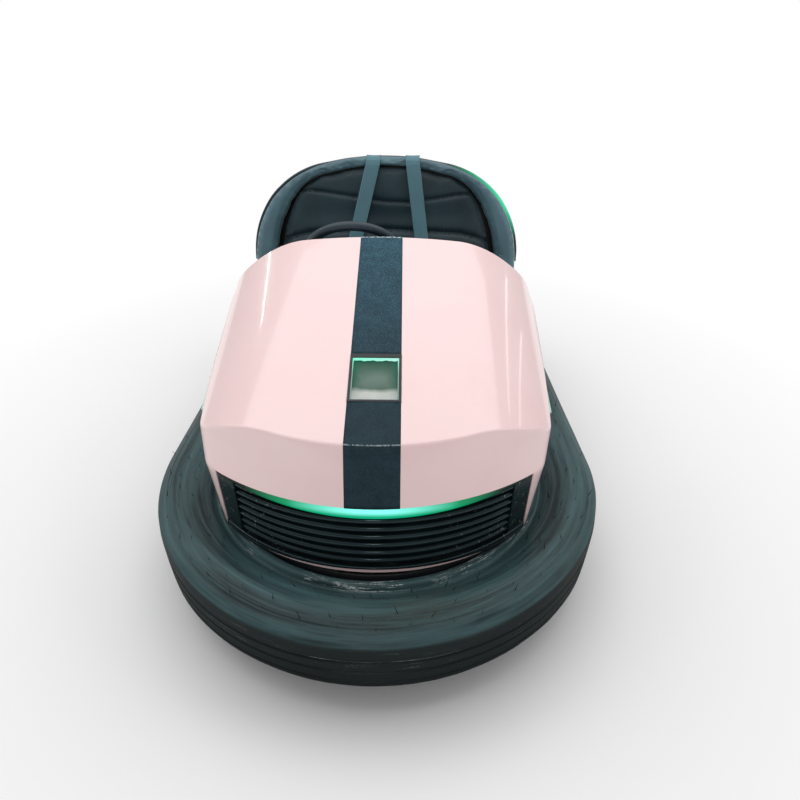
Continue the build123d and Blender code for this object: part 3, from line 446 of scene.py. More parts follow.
def tyre_rubber():
    """Black tyre rubber: blue-grey bloom whose light tone is partly painted sheen, marks that run round the
    ring, brown dust and pale scuffs.
    """
    finish = Finish("tyre_rubber", IOR=1.42, Specular_IOR_Level=0.30)
    place = finish.place()
    x, y, z = place.split()
    out = Value(add_node(finish.tree, "ShaderNodeAttribute", attribute_name="out").outputs["Fac"])

    # Bloom and streaks that run round the ring; the bloom's light tone is partly painted sheen
    drawn = joined(x * 2.6, y * 2.6, out * 170.0)
    streaks = drawn.noise(1.0, 3.0, 0.6)
    bloom_and_sheen = drawn.mapped((1, 1, 0.22), (7.0, 3.0, 0.0)).noise(1.0, 4.0, 0.6).ramp(0.36, 0.66)
    base = bloom_and_sheen.mix((31, 47, 50), (69, 97, 100))
    base = streaks.ramp(0.45, 0.75, 0.0, 0.5).mix(base, (76, 95, 98))

    # Dust on the crest, and shade on the tread and under it
    dusty = place.noise(4.2, 4.0, 0.62).ramp(0.50, 0.68) * abs(out - 0.105).ramp(0.012, 0.055, 1.0, 0.0)
    fine = place.noise(260.0, 3.0, 0.7).ramp(0.38, 0.66, 0.2, 1.0)
    base = (dusty * fine * 0.50).mix(base, (86, 88, 76))
    shade = out.ramp(0.1780, 0.1808).most(z.ramp(TYRE_MIDDLE + 0.054, TYRE_MIDDLE + 0.046))
    base = (shade * out.ramp(0.08, 0.12) * 0.88).mix(base, (6, 16, 15))

    # Pale scuffs on the band beside the body, and long cuts along the tread's edge
    worn = place.noise(8.0, 4.0, 0.7).ramp(0.47, 0.56)
    specks = place.noise(170.0, 3.0, 0.7).ramp(0.40, 0.52)
    scratches = joined(x * 16.0, y * 16.0, out * 520.0).noise(1.0, 3.0, 0.6).ramp(0.54, 0.63)
    scuff = scratches * (worn * specks) * abs(out - 0.017).ramp(0.007, 0.014, 1.0, 0.0)
    cuts = joined(x, y, z * 60.0).noise(3.0, 3.0, 0.65).ramp(0.60, 0.66) * (out.ramp(0.1795, 0.1815) * specks)
    scuff = scuff.most(cuts * worn * y.ramp(-0.55, -0.80, 0.15, 0.40))
    rough = bloom_and_sheen.ramp(0.0, 1.0, 0.30, 0.44)
    finish.link(Base_Color=scuff.mix(base, (196, 204, 206)), Roughness=dusty.most(scuff).blend(rough, 0.85))
    lumps = place.noise(420.0, 4.0, 0.65) * 0.30 + streaks * 0.5
    return finish.bump(lumps + place.noise(38.0, 3.0, 0.6), 0.0018, 0.40)


def plain_finish(name, first, second, roughness, scale, height, metallic, dust):
    """A plain finish with its own grain and dust: paint, rubber, moulding or bare metal."""
    finish = Finish(name, Coat_Roughness=0.12, IOR=1.5, Metallic=metallic)
    grain = finish.place().noise(scale, 4.0, 0.6)
    dirt = finish.group(DUST, Patch_Scale=8.0, Dust=dust, Scuffs=dust)
    dusty = (dirt["Dust"] * 0.6).mix(grain.ramp(0.35, 0.65).mix(first, second), (118, 110, 98))
    finish.link(
        Base_Color=(dirt["Scuff"] * 0.5).mix(dusty, (150, 150, 148)),
        Roughness=grain.ramp(0.3, 0.7, roughness - 0.08, roughness + 0.08),
    )
    return finish.bump(grain, height, 0.6)


def seat_cloth(name, first, second, roughness):
    """Blue-black coated cloth with a pebbled grain."""
    finish = Finish(name, IOR=1.45, Sheen_Weight=0.10, Sheen_Roughness=0.4, Coat_Weight=0.05)
    grain = finish.group(LEATHER, Cells=420.0)
    dirt = finish.group(DUST, Patch_Scale=5.0, Dust=0.22, Scuffs=0.15)
    base = grain["Cloud"].ramp(0.35, 0.65).mix(first, second)
    finish.link(
        Base_Color=(dirt["Dust"] * 0.5).mix(base, (110, 112, 110)),
        Roughness=grain["Cloud"].ramp(0.3, 0.7, roughness - 0.05, roughness + 0.07),
    )
    return finish.bump(grain["Height"], 0.0009, 0.5)


def webbing_cloth():
    """Black woven webbing, greyed by use."""
    finish = Finish("webbing", IOR=1.4, Sheen_Weight=0.2, Sheen_Roughness=0.4, Roughness=0.75)
    weave = finish.group(WEBBING, Ribs=900.0, Yarns=1900.0)
    finish.link(Base_Color=weave["Fuzz"].ramp(0.3, 0.7).mix((79, 121, 133), (105, 143, 154)))
    return finish.bump(weave["Height"], 0.0005, 0.6)


def side_glow():
    """The lit strips along the flanks."""
    mint = linear(168, 214, 196)
    finish = Finish(
        "lit_strip_side", Roughness=0.3, IOR=1.45, Base_Color=mint, Emission_Color=mint, Emission_Strength=0.15,
    )
    return finish.material


def front_light():
    """The lit strip under the fascia: mint in the middle, emerald below and outwards, dark at its ends."""
    finish = Finish("lit_strip_front", Roughness=0.3, IOR=1.45)
    x, y, z = finish.place().split()
    away = abs(x)
    middle = z.ramp(LED_HIGH.z - 0.0225, LED_HIGH.z - 0.0120).mix((10, 158, 116), (124, 238, 222))
    outer = away.ramp(0.04, 0.19).mix(middle, (0, 140, 90))
    return finish.glow(away.ramp(0.17, 0.29).mix(outer, (1, 22, 14)), 0.85)


def frosted_lens():
    """Frosted pane over the light box: dark green at its rear, grey-green, then milky at its foot."""
    finish = Finish("frosted_pane", Roughness=0.30, IOR=1.45)
    place = finish.place()
    x, y, z = place.split()
    along = y + (place.noise(22.0) - 0.5) * 0.018
    upper = along.ramp(PANE_REAR, PANE_REAR - 0.045).mix((14, 74, 56), (84, 110, 98))
    lower = along.ramp(-0.540, -0.552).mix(upper, (206, 212, 205))
    lower = along.ramp(-0.550, PANE_FRONT).mix(lower, (236, 240, 238))
    green = abs(x).ramp(0.030, 0.052) * along.ramp(-0.565, -0.50, 0.15, 0.75)
    return finish.glow(green.mix(lower, (34, 108, 84)), 0.13)


def window_glow():
    """Lit edge of the pane: bright mint along its rear, greyer down its sides."""
    finish = Finish("window_glow", Roughness=0.3, IOR=1.45)
    x, y, z = finish.place().split()
    bright = x.ramp(-0.05, 0.05).mix((118, 232, 196), (160, 226, 208))
    return finish.glow(y.ramp(PANE_REAR - 0.050, PANE_REAR - 0.012).mix((128, 158, 150), bright), 0.22)


def back_glow():
    """Edge light round the seat back: emerald on the right shoulder, nearly out elsewhere."""
    finish = Finish("back_glow", Roughness=0.35, IOR=1.45)
    x, y, z = finish.place().split()
    return finish.glow((x.ramp(0.22, 0.40) * z.ramp(0.62, 0.72)).mix((18, 30, 32), (56, 170, 128)), 1.1)


def lamp_red():
    """Red moulded lamp with fine flutes."""
    finish = Finish("lamp_red", Roughness=0.12, IOR=1.5, Coat_Weight=0.5)
    place = finish.place()
    flutes = place.feed("Fac", "ShaderNodeTexWave", {"Vector": place, "Scale": 60.0}, bands_direction="Z")
    finish.link(Base_Color=flutes.mix((120, 8, 10), (168, 16, 18)))
    return finish.bump(flutes, 0.001, 0.5)


def floor_white():
    """White floor that keeps the car's shadow and runs out into plain white."""
    finish = Finish("floor_white", Roughness=0.9, Specular_IOR_Level=0.1)
    tree = finish.tree
    seen = Value(add_node(tree, "ShaderNodeLightPath").outputs["Is Camera Ray"])
    finish.link(Base_Color=seen.mix((0.30, 0.30, 0.30, 1), (0.96, 0.96, 0.96, 1)))
    away = place_in(tree)
    share = away.feed("Value", "ShaderNodeVectorMath", {0: away}, operation="LENGTH").ramp(1.0, 1.9)
    glow = add_node(tree, "ShaderNodeEmission", {"Color": (1, 1, 1, 1), "Strength": 1.0})
    mixed = add_node(tree, "ShaderNodeMixShader", {0: share, 1: finish.shader.outputs[0], 2: glow.outputs[0]})
    tree.links.new(mixed.outputs[0], tree.nodes["Material Output"].inputs["Surface"])
    return finish.material


# Plain finishes by slot. Columns: name, two colours, roughness, grain's scale and height, metal, dust
PLAIN_FINISHES = {
    "window_black": ("window_black", (8, 14, 18), (13, 21, 27), 0.42, 200.0, 0.0003, 0.0, 0.15),
    "light_box": ("white_moulding", (216, 222, 216), (204, 212, 206), 0.50, 60.0, 0.0004, 0.0, 0.1),
    "whisker": ("whisker_rubber", (6, 7, 8), (10, 11, 12), 0.60, 60.0, 0.0004, 0.0, 0.0),
    "wheel_rubber": ("wheel_rubber", (26, 27, 28), (40, 41, 42), 0.65, 180.0, 0.0006, 0.0, 0.8),
    "black_steel": ("black_paint", (26, 27, 28), (34, 35, 36), 0.42, 90.0, 0.0004, 0.0, 0.5),
    "grey_steel": ("grey_paint", (104, 106, 108), (118, 120, 122), 0.50, 90.0, 0.0004, 0.0, 0.5),
    "motor_black": ("cast_black", (38, 38, 40), (54, 54, 56), 0.55, 260.0, 0.0008, 0.0, 0.5),
    "cast_hub": ("cast_alloy", (150, 152, 154), (176, 178, 180), 0.45, 240.0, 0.0006, 0.9, 0.4),
    "axle_steel": ("bright_steel", (150, 150, 150), (174, 174, 172), 0.32, 300.0, 0.0002, 1.0, 0.3),
    "tub_black": ("black_moulding", (24, 27, 30), (34, 38, 41), 0.50, 220.0, 0.0005, 0.0, 0.35),
    "mat_rubber": ("mat_rubber", (30, 31, 32), (42, 43, 44), 0.70, 200.0, 0.0006, 0.0, 0.8),
    "grip_rubber": ("grip_rubber", (32, 48, 57), (44, 61, 71), 0.38, 400.0, 0.0004, 0.0, 0.2),
    "bright_screw": ("screw_steel", (160, 160, 160), (182, 182, 180), 0.30, 300.0, 0.0001, 1.0, 0.1),
    "battery_case": ("battery_case", (52, 52, 54), (62, 62, 64), 0.50, 60.0, 0.0004, 0.0, 0.4),
}
MATERIALS = {
    "pink_shell": gel_coat(),
    "glass_fibre": glass_fibre(),
    "glitter": glitter_band(),
    "black_gloss": gloss_black(),
    "green_light": front_light(),
    "side_light": side_glow(),
    "back_light": back_glow(),
    "window_glow": window_glow(),
    "window_lens": frosted_lens(),
    "bumper_rubber": tyre_rubber(),
    "slat_gloss": slat_gloss(),
    "seat_vinyl": seat_cloth("seat_cloth", (27, 49, 56), (39, 63, 71), 0.5),
    # The roll's cloth is lighter than the pad's: partly its own tone, partly painted sheen.
    "border_vinyl": seat_cloth("border_cloth", (72, 101, 112), (90, 124, 135), 0.36),
    "belt_webbing": webbing_cloth(),
    "red_lamp": lamp_red(),
    "floor": floor_white(),
    **{slot: plain_finish(*row) for slot, row in PLAIN_FINISHES.items()},
}


# Mesh helpers

def place_object(name, data):
    """A new object in the scene."""
    made = bpy.data.objects.new(name, data)
    bpy.context.scene.collection.objects.link(made)
    return made


def mesh_piece(name, points, faces):
    """A new piece from points and faces, shaded smooth."""
    mesh = bpy.data.meshes.new(name)
    mesh.from_pydata([tuple(p) for p in points], [], faces)
    mesh.validate()
    mesh.shade_smooth()
    return place_object(name, mesh)


def grid_piece(name, points, across, turned=False):
    """A piece from rows of points, with so many points across each row."""
    faces = []
    for row in range(len(points) // across - 1):
        for column in range(across - 1):
            a = row * across + column
            b, c = (a + 1, a + across) if turned else (a + across, a + 1)
            faces.append((a, b, a + across + 1, c))
    return mesh_piece(name, points, faces)


def edit(piece, change):
    """Runs a change on the piece's mesh as a BMesh."""
    work = bmesh.new()
    work.from_mesh(piece.data)
    change(work)
    work.to_mesh(piece.data)
    work.free()
    piece.data.update()


def weld(piece, distance=1e-5):
    """Merges points that lie together and turns the faces outwards."""
    def change(work):
        bmesh.ops.remove_doubles(work, verts=work.verts, dist=distance)
        bmesh.ops.recalc_face_normals(work, faces=work.faces)
    edit(piece, change)


def face_up(piece):
    """Turns the piece's faces over if its highest one looks down."""
    if max(piece.data.polygons, key=lambda p: p.center.z).normal.z < 0:
        piece.data.flip_normals()


def bake_modifiers(piece):
    """Turns the piece with its modifiers into a plain mesh."""
    graph = bpy.context.evaluated_depsgraph_get()
    mesh = bpy.data.meshes.new_from_object(piece.evaluated_get(graph))
    piece.modifiers.clear()
    old = piece.data
    piece.data = mesh
    mesh.name = piece.name
    if old.users == 0:
        bpy.data.meshes.remove(old)
    return piece


def mesh_values(piece, what="co"):
    """The piece's points, or their normals, as an array."""
    values = np.empty(len(piece.data.vertices) * 3)
    piece.data.vertices.foreach_get(what, values)
    return values.reshape(-1, 3)


def set_points(piece, points):
    """Moves the piece's points."""
    piece.data.vertices.foreach_set("co", np.ascontiguousarray(points).ravel())
    piece.data.update()


def dress(piece, *materials):
    """Gives a piece its materials, by their keys."""
    piece.data.materials.clear()
    for material in materials:
        piece.data.materials.append(MATERIALS[material])


def bevel(piece, width, segments=2, angle=40):
    """Rounds the piece's sharp edges."""
    edge = piece.modifiers.new("edges", "BEVEL")
    edge.width = width
    edge.segments = segments
    edge.limit_method = "ANGLE"
    edge.angle_limit = math.radians(angle)
    edge.harden_normals = True


def give_wall(piece, materials, thickness, offset, edge=None):
    """Gives a sheet its materials, outer then inner, its wall, and rounded edges as bevel takes them."""
    dress(piece, *materials)
    wall = piece.modifiers.new("wall", "SOLIDIFY")
    wall.thickness = thickness
    wall.offset = offset
    wall.use_quality_normals = True
    wall.material_offset = len(materials) - 1
    wall.material_offset_rim = 0
    if edge:
        bevel(piece, *edge)
    return bake_modifiers(piece)


def settle(piece, body, slot, *nodes):
    """The piece rides on its body and stands for its CAD nodes. Its slot is not used."""
    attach(piece, body)
    if nodes:
        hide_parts(*nodes)
    return piece


def cad_copy(name, node):
    """A copy of a CAD node's mesh as one joined piece, to be worked on."""
    piece = place_object(name, NODES[node].data.copy())
    edit(piece, lambda work: bmesh.ops.remove_doubles(work, verts=work.verts, dist=1e-5))
    return piece


def circle(radius, count):
    """Points round a circle."""
    turns = np.linspace(0, 2 * math.pi, count + 1)[:-1]
    return [(radius * math.cos(a), radius * math.sin(a)) for a in turns]


# Geometry Nodes

def geometry_group(name, inputs, build):
    """A Geometry Nodes group whose result takes the material that it is given."""
    sockets = [("Geometry", "Geometry"), *inputs, ("Material", "Material")]
    tree, given, made = new_group(name, "GeometryNodeTree", sockets, sockets[:1])
    whole = add_node(tree, "GeometryNodeRealizeInstances", {"Geometry": build(tree, given)}).outputs[0]
    inputs = {"Geometry": whole, "Material": given["Material"]}
    tree.links.new(add_node(tree, "GeometryNodeSetMaterial", inputs).outputs[0], made[0])
    return tree


def object_in(tree, picked):
    """The geometry of an object that the group is given."""
    return add_node(tree, "GeometryNodeObjectInfo", {"Object": picked}).outputs["Geometry"]


def scaled(tree, vector, factor):
    """A vector times a factor."""
    return add_node(tree, "ShaderNodeVectorMath", {0: vector, "Scale": factor}, operation="SCALE").outputs[0]


def build_sweep(tree, given):
    """A flat profile swept along each path of an object, with an optional wobble."""
    path, profile = object_in(tree, given["Path"]), object_in(tree, given["Profile"])
    upright = add_node(tree, "GeometryNodeSetCurveNormal", {"Curve": path}, mode="Z_UP").outputs["Curve"]
    inputs = {"Curve": upright, "Profile Curve": profile, "Fill Caps": True}
    swept = add_node(tree, "GeometryNodeCurveToMesh", inputs).outputs["Mesh"]
    place = add_node(tree, "GeometryNodeInputPosition").outputs[0]
    cloud = add_node(tree, "ShaderNodeTexNoise", {"Vector": place, "Scale": WOBBLE_SCALE, "Detail": 2.0})
    inputs = {0: cloud.outputs["Color"], 1: (0.5, 0.5, 0.5)}
    middle = add_node(tree, "ShaderNodeVectorMath", inputs, operation="SUBTRACT").outputs[0]
    inputs = {"Geometry": swept, "Offset": scaled(tree, middle, given["Wobble"])}
    moved = add_node(tree, "GeometryNodeSetPosition", inputs).outputs[0]
    return add_node(tree, "GeometryNodeSetShadeSmooth", {"Geometry": moved}).outputs[0]


def build_whiskers(tree, given):
    """Thin rubber whiskers that stand along a path, each leaning its own way."""
    def drawn(low, high, kind="FLOAT_VECTOR", first=0, output=0):
        """A random value between two for each whisker."""
        inputs = {first: low, first + 1: high, "Seed": given["Seed"]}
        return add_node(tree, "FunctionNodeRandomValue", inputs, data_type=kind).outputs[output]

    inputs = {"Curve": object_in(tree, given["Path"]), "Count": given["Count"]}
    points = add_node(tree, "GeometryNodeCurveToPoints", inputs).outputs["Points"]
    ends = [scaled(tree, (way, way, 0.0), given["Scatter"]) for way in (-1.0, 1.0)]
    placed = add_node(tree, "GeometryNodeSetPosition", {"Geometry": points, "Offset": drawn(*ends)}).outputs[0]
    inputs = {
        "Vertices": 5, "Side Segments": 3, "Radius Bottom": given["Radius"], "Radius Top": 0.0002,
        "Depth": given["Length"],
    }
    hair = add_node(tree, "GeometryNodeMeshCone", inputs).outputs["Mesh"]
    inputs = {
        "Points": placed, "Instance": hair, "Rotation": drawn((-0.5, -0.5, 0.0), (0.5, 0.5, 6.28)),
        "Scale": drawn(0.45, 1.25, "FLOAT", 2, 1),
    }
    return add_node(tree, "GeometryNodeInstanceOnPoints", inputs).outputs[0]


def build_screws(tree, given):
    """One screw at each point of an object, turned to the point's own aim."""
    aim = add_node(tree, "GeometryNodeInputNamedAttribute", {"Name": "aim"}, data_type="FLOAT_VECTOR")
    turned = add_node(tree, "FunctionNodeAlignEulerToVector", {"Vector": aim.outputs[0]}, axis="Z")
    inputs = {
        "Points": object_in(tree, given["Places"]), "Instance": object_in(tree, given["Head"]),
        "Rotation": turned.outputs[0],
        "Scale": given["Size"],
    }
    return add_node(tree, "GeometryNodeInstanceOnPoints", inputs).outputs[0]


SWEEP = geometry_group(
    "profile_sweep", [("Path", "Object"), ("Profile", "Object"), ("Wobble", "Float")], build_sweep,
)
WHISKERS = geometry_group(
    "rubber_whiskers",
    [("Path", "Object"), ("Count", "Int"), ("Length", "Float"), ("Radius", "Float"), ("Scatter", "Float"),
     ("Seed", "Int")],
    build_whiskers,
)
SCREWS = geometry_group("screws", [("Places", "Object"), ("Head", "Object"), ("Size", "Float")], build_screws)


def curve_object(name, lines, closed):
    """A curve object of straight runs between points, one spline for each line."""
    data = bpy.data.curves.new(name, "CURVE")
    data.dimensions = "3D"
    for line in lines:
        spline = data.splines.new("POLY")
        spline.points.add(len(line) - 1)
        for point, place in zip(spline.points, line):
            point.co = (*place, 1.0) if len(place) == 3 else (*place, 0.0, 1.0)
        spline.use_cyclic_u = closed
    return place_object(name, data)


def run_tree(name, tree, material, inputs):
    """A plain mesh piece made by a Geometry Nodes tree. The objects among its inputs are used up."""
    piece = mesh_piece(name, [], [])
    modifier = piece.modifiers.new("nodes", "NODES")
    modifier.node_group = tree
    names = {item.name: item.identifier for item in tree.interface.items_tree if item.in_out == "INPUT"}
    for key, value in {**inputs, "Material": MATERIALS[material]}.items():
        modifier[names[key]] = value
    bpy.context.view_layer.update()
    bake_modifiers(piece)
    for value in inputs.values():
        if isinstance(value, bpy.types.Object):
            bpy.data.objects.remove(value)
    return piece


def sweep(name, paths, profile, material, slot, *nodes, closed=False, wobble=0.0):
    """Sweeps a closed profile along paths. The profile's x is level and to the path's right, its y up."""
    inputs = {
        "Path": curve_object(name + "_path", paths, closed),
        "Profile": curve_object(name + "_profile", [[(x, -y) for x, y in profile]], True),
        "Wobble": wobble,
    }
    piece = run_tree(name, SWEEP, material, inputs)
    weld(piece)
    return settle(piece, "chassis", slot, *nodes)


# Tyre ring

# Upper half of the tyre's section from the seat outwards: band at the bead, groove, sidewall and shoulder.
# Columns: out from the seat line, below the tyre's top
TYRE_UPPER = np.array([
    (0.0006, 0.0500), (0.0012, 0.0340), (0.0030, 0.0270), (0.0070, 0.0238), (0.0130, 0.0232), (0.0190, 0.0245),
    (0.0228, 0.0285), (0.0250, 0.0345), (0.0290, 0.0385), (0.0340, 0.0385), (0.0390, 0.0350), (0.0450, 0.0285),
    (0.0540, 0.0200), (0.0660, 0.0115), (0.0800, 0.0050), (0.0950, 0.0012), (0.1100, 0.0000), (0.1260, 0.0022),
    (0.1420, 0.0072), (0.1570, 0.0145), (0.1690, 0.0218), (0.1770, 0.0268), (0.1793, 0.0287), (0.1806, 0.0312),
    (0.1815, 0.0400), (0.1825, 0.0500),
])
# Fine raised rings on the sidewall. Columns: out from the seat line, half width, height
SIDEWALL_RINGS = [
    (0.0480, 0.0020, 0.0012), (0.1180, 0.0011, 0.0008), (0.1270, 0.0011, 0.0008), (0.1350, 0.0010, 0.0008),
    (0.1430, 0.0010, 0.0009), (0.1500, 0.0010, 0.0008), (0.1600, 0.0024, 0.0010),
]
# Grooves of the tread. Columns: height above the tyre's middle, half width, depth
TREAD_GROOVES = [
    (0.0330, 0.0014, 0.0018), (0.0200, 0.0042, 0.0060), (0.0040, 0.0014, 0.0016),
    (-0.0140, 0.0042, 0.0060), (-0.0330, 0.0014, 0.0018), (-0.0480, 0.0036, 0.0050),
]
# Rows of whiskers. Columns: out from the seat, height of the surface there, count, seed
WHISKER_ROWS = [(0.052, 0.078, 52, 3), (0.088, 0.097, 64, 5), (0.124, 0.097, 70, 8), (0.150, 0.088, 60, 9)]
WHISKER_SHAPE = {"Length": 0.018, "Radius": 0.0011, "Scatter": 0.012}


def ring_path(growth, z):
    """Plan of the tyre's seat, grown outwards: two arcs joined by tangent sides."""
    def arc(radius, middle, start, turn):
        angles = [start - turn * i / ARC_STEPS for i in range(ARC_STEPS)]
        return [(radius * math.cos(a), middle + radius * math.sin(a), z) for a in angles]

    def side(start, end):
        shares = [i / SIDE_STEPS for i in range(SIDE_STEPS)]
        return [(*(a + (b - a) * share for a, b in zip(start, end)), z) for share in shares]

    front, rear = FRONT_SEAT + growth, REAR_SEAT + growth
    x_front, y_front = front * math.cos(SIDE_LEAN), FRONT_CENTRE + front * math.sin(SIDE_LEAN)
    x_rear, y_rear = rear * math.cos(SIDE_LEAN), REAR_CENTRE + rear * math.sin(SIDE_LEAN)
    points = arc(front, FRONT_CENTRE, SIDE_LEAN, math.pi + 2 * SIDE_LEAN)
    points += side((-x_front, y_front), (-x_rear, y_rear))
    points += arc(rear, REAR_CENTRE, math.pi - SIDE_LEAN, math.pi - 2 * SIDE_LEAN)
    return points + side((x_rear, y_rear), (x_front, y_front))


def arc_points(start, middle, end, steps):
    """Points on the arc through three points, without its end."""
    a, b, c = (np.array(p, float) for p in (start, middle, end))
    ab, ac = b - a, c - a
    cross = 2 * (ab[0] * ac[1] - ab[1] * ac[0])
    centre = a + np.array([
        ac[1] * ab.dot(ab) - ab[1] * ac.dot(ac),
        ab[0] * ac.dot(ac) - ac[0] * ab.dot(ab),
    ]) / cross
    angles = [math.atan2(*(p - centre)[::-1]) for p in (a, b, c)]
    turn = (angles[2] - angles[0]) % (2 * math.pi)
    if (angles[1] - angles[0]) % (2 * math.pi) > turn:
        turn -= 2 * math.pi
    radius = np.linalg.norm(a - centre)
    places = [angles[0] + turn * i / steps for i in range(steps)]
    return [tuple(centre + radius * np.array([math.cos(place), math.sin(place)])) for place in places]


def path_lengths(points):
    """How far along its path each point lies."""
    return np.concatenate([[0], np.cumsum(np.linalg.norm(np.diff(points, axis=0), axis=1))])


def tyre_profile():
    """Section of the tyre ring: x outwards from its seat, y above its middle."""
    half, bead = TYRE_HALF_HEIGHT, BEAD_HALF
    along = path_lengths(TYRE_UPPER)
    fine = np.linspace(0, along[-1], 150)
    across, below = (np.interp(fine, along, TYRE_UPPER[:, i]) for i in range(2))
    upper = []
    for x, y in zip(across, half - below):
        raised = sum(high * math.exp(-(((x - at) / wide) ** 2)) for at, wide, high in SIDEWALL_RINGS)
        upper.append((x, y + raised))
    tread, tread_top, tread_foot, step = [], half - 0.0515, -half + 0.034, 0.0013
    for z in np.arange(tread_top, tread_foot, -step):
        depth = sum(deep / (1 + (abs(z - at) / wide) ** 10) for at, wide, deep in TREAD_GROOVES)
        lean = TREAD_TUCK * ((half - 0.05 - z) / (2 * half)) ** 1.5
        tread.append((TREAD_OUT - depth - lean, z))
    foot = TREAD_TUCK * 0.75
    shoulder, sole, heel = (0.150 - foot, -half + 0.004), (0.062, -half + 0.017), (0.020, -bead - 0.006)
    lower = arc_points((TREAD_OUT - foot, tread_foot), (0.174 - foot, -half + 0.013), shoulder, 14)
    lower += arc_points(shoulder, (0.115, -half), sole, 24)
    lower += arc_points(sole, (0.038, -half + 0.034), heel, 8)
    return upper + tread + lower + [heel, (0.0165, -bead + 0.0003), (0.0004, -bead + 0.0003)]


def ring_out(points):
    """How far each point lies out from the line that the tyre seats on."""
    x, y = np.abs(points[:, 0]), points[:, 1]
    front = np.hypot(x, y - FRONT_CENTRE) - FRONT_SEAT
    rear = np.hypot(x, y - REAR_CENTRE) - REAR_SEAT
    side = x * math.cos(SIDE_LEAN) + (y - FRONT_CENTRE) * math.sin(SIDE_LEAN) - FRONT_SEAT
    out = np.where(y < FRONT_CENTRE + x * math.tan(SIDE_LEAN), front, side)
    return np.where(y > REAR_CENTRE + x * math.tan(SIDE_LEAN), rear, out)


def tyre_ring():
    """The tyre ring, which keeps for its material how far out each point lies, and its whiskers."""
    path = ring_path(0.0, TYRE_MIDDLE)[::-1]
    ring = sweep(
        "tyre_ring", [path], tyre_profile(), "bumper_rubber", "bumper_rubber", "bumper_tyre",
        closed=True, wobble=TYRE_WOBBLE,
    )
    layer = ring.data.attributes.new("out", "FLOAT", "POINT")
    layer.data.foreach_set("value", ring_out(mesh_values(ring)).astype(np.float32))
    for row, (out, level, count, seed) in enumerate(WHISKER_ROWS):
        line = curve_object("whisker_line", [ring_path(out, TYRE_MIDDLE + level)], True)
        inputs = {"Path": line, "Count": count, "Seed": seed, **WHISKER_SHAPE}
        hairs = run_tree("tyre_whiskers_" + str(row + 1), WHISKERS, "whisker", inputs)
        settle(hairs, "chassis", "bumper_rubber")


# Body shell

def section_at(z):
    """The body's plan at a height, as the columns of BODY_SECTIONS without the first."""
    rise = z - BASE_Z
    return [np.interp(rise, BODY_SECTIONS[:, 0], BODY_SECTIONS[:, i]) for i in range(1, 7)]


def nose_corner(z):
    """Right front corner of the body at a height."""
    corner_out, ahead = section_at(z)[1:3]
    return np.array([FRONT_SEAT + corner_out, FRONT_CENTRE - ahead])


def nose_front(x, z):
    """How far forward the nose reaches at x and a height."""
    corner = nose_corner(z)
    nose_y = FRONT_CENTRE - FRONT_SEAT - section_at(z)[0]
    rise = corner[1] - nose_y
    radius = (corner[0] ** 2 + rise ** 2) / (2 * rise)
    return nose_y + radius - math.sqrt(radius ** 2 - x ** 2)


def flank_point(share, z):
    """A point of the right flank between the front corner and the cowl."""
    corner = nose_corner(z)
    cowl = np.array([FRONT_SEAT + section_at(z)[3], COWL_Y])
    return corner + (cowl - corner) * share


def bonnet_drop():
    """Table of the bonnet's drop below its crown against x, rounds included."""
    (crown_x, crown_drop, first), (bevel_x, bevel_drop, second), (foot_x, foot_drop, last) = BONNET_PROFILE
    crown_radius = (crown_x ** 2 + crown_drop ** 2) / (2 * crown_drop)
    places = np.linspace(0, foot_x, 1600)
    drops = np.where(
        places < crown_x,
        crown_radius - np.sqrt(np.maximum(crown_radius ** 2 - places ** 2, 0)),
        np.interp(places, [crown_x, bevel_x, foot_x], [crown_drop, bevel_drop, foot_drop]),
    )
    bevel_fall = (bevel_drop - crown_drop) / (bevel_x - crown_x)
    flank_fall = (foot_drop - bevel_drop) / (foot_x - bevel_x)
    for at, radius, before, after in (
        (crown_x, first, crown_x / crown_radius, bevel_fall), (bevel_x, second, bevel_fall, flank_fall),
    ):
        turn = (math.atan(after) - math.atan(before)) / 2
        reach = radius * math.tan(turn)
        start = at - reach * math.cos(math.atan(before))
        end = at + reach * math.cos(math.atan(after))
        inside = (places > start) & (places < end)
        low, middle, high = np.interp([start, at, end], places, drops)
        drops[inside] = bent(low, middle, high, (places[inside] - start) / (end - start))
    return places, drops


def bent(start, corner, end, share):
    """A smooth curve between two ends, with the corner as its pull."""
    return start * (1 - share) ** 2 + 2 * corner * share * (1 - share) + end * share ** 2


DROP_X, DROP_Z = bonnet_drop()


def bonnet_height(x, y):
    """Height of the bonnet's top at a place."""
    return COWL_Z + (y - COWL_Y) * BONNET_SLOPE - float(np.interp(abs(x), DROP_X, DROP_Z))


def steps_through(places, counts):
    """Even steps from each place to the next, so many for each stretch."""
    line = [places[0]]
    for start, end, count in zip(places, places[1:], counts):
        line += list(np.linspace(start, end, count + 1))[1:]
    return np.array(line)


def plan_point(station, z, share):
    """A point of the half plan: stations up to the corner lie on the nose, the rest on the flank."""
    if station > NOSE_LAST:
        return flank_point(share, z)
    places = (0, STRIPE_HALF, GRILLE_HALF, nose_corner(z)[0])
    x = steps_through(places, (CORE_COLUMNS, GRILLE_COLUMNS, CORNER_COLUMNS))[station]
    return np.array([x, nose_front(x, z)])


def wall_point(station, z, shares=None):
    """A point of the wall at a height, with the front corner rounded."""
    first, last = NOSE_LAST - CORNER_REACH, NOSE_LAST + CORNER_REACH
    if shares is None or station <= first or station >= last:
        share = 0 if station <= NOSE_LAST else shares[station - NOSE_LAST]
        return plan_point(station, z, share)
    end = plan_point(last, z, shares[CORNER_REACH])
    return bent(plan_point(first, z, 0), nose_corner(z), end, (station - first) / (last - first))


def wall_crease(station, shares=None):
    """Where the wall meets the bonnet at a station."""
    low, high = 0.38, 0.80
    for step in range(30):
        z = (low + high) / 2
        x, y = wall_point(station, z, shares)
        low, high = (z, high) if z < bonnet_height(x, y) else (low, z)
    return np.array([x, y, z])


def unit(vector):
    """The vector with a length of one."""
    return vector / np.linalg.norm(vector)


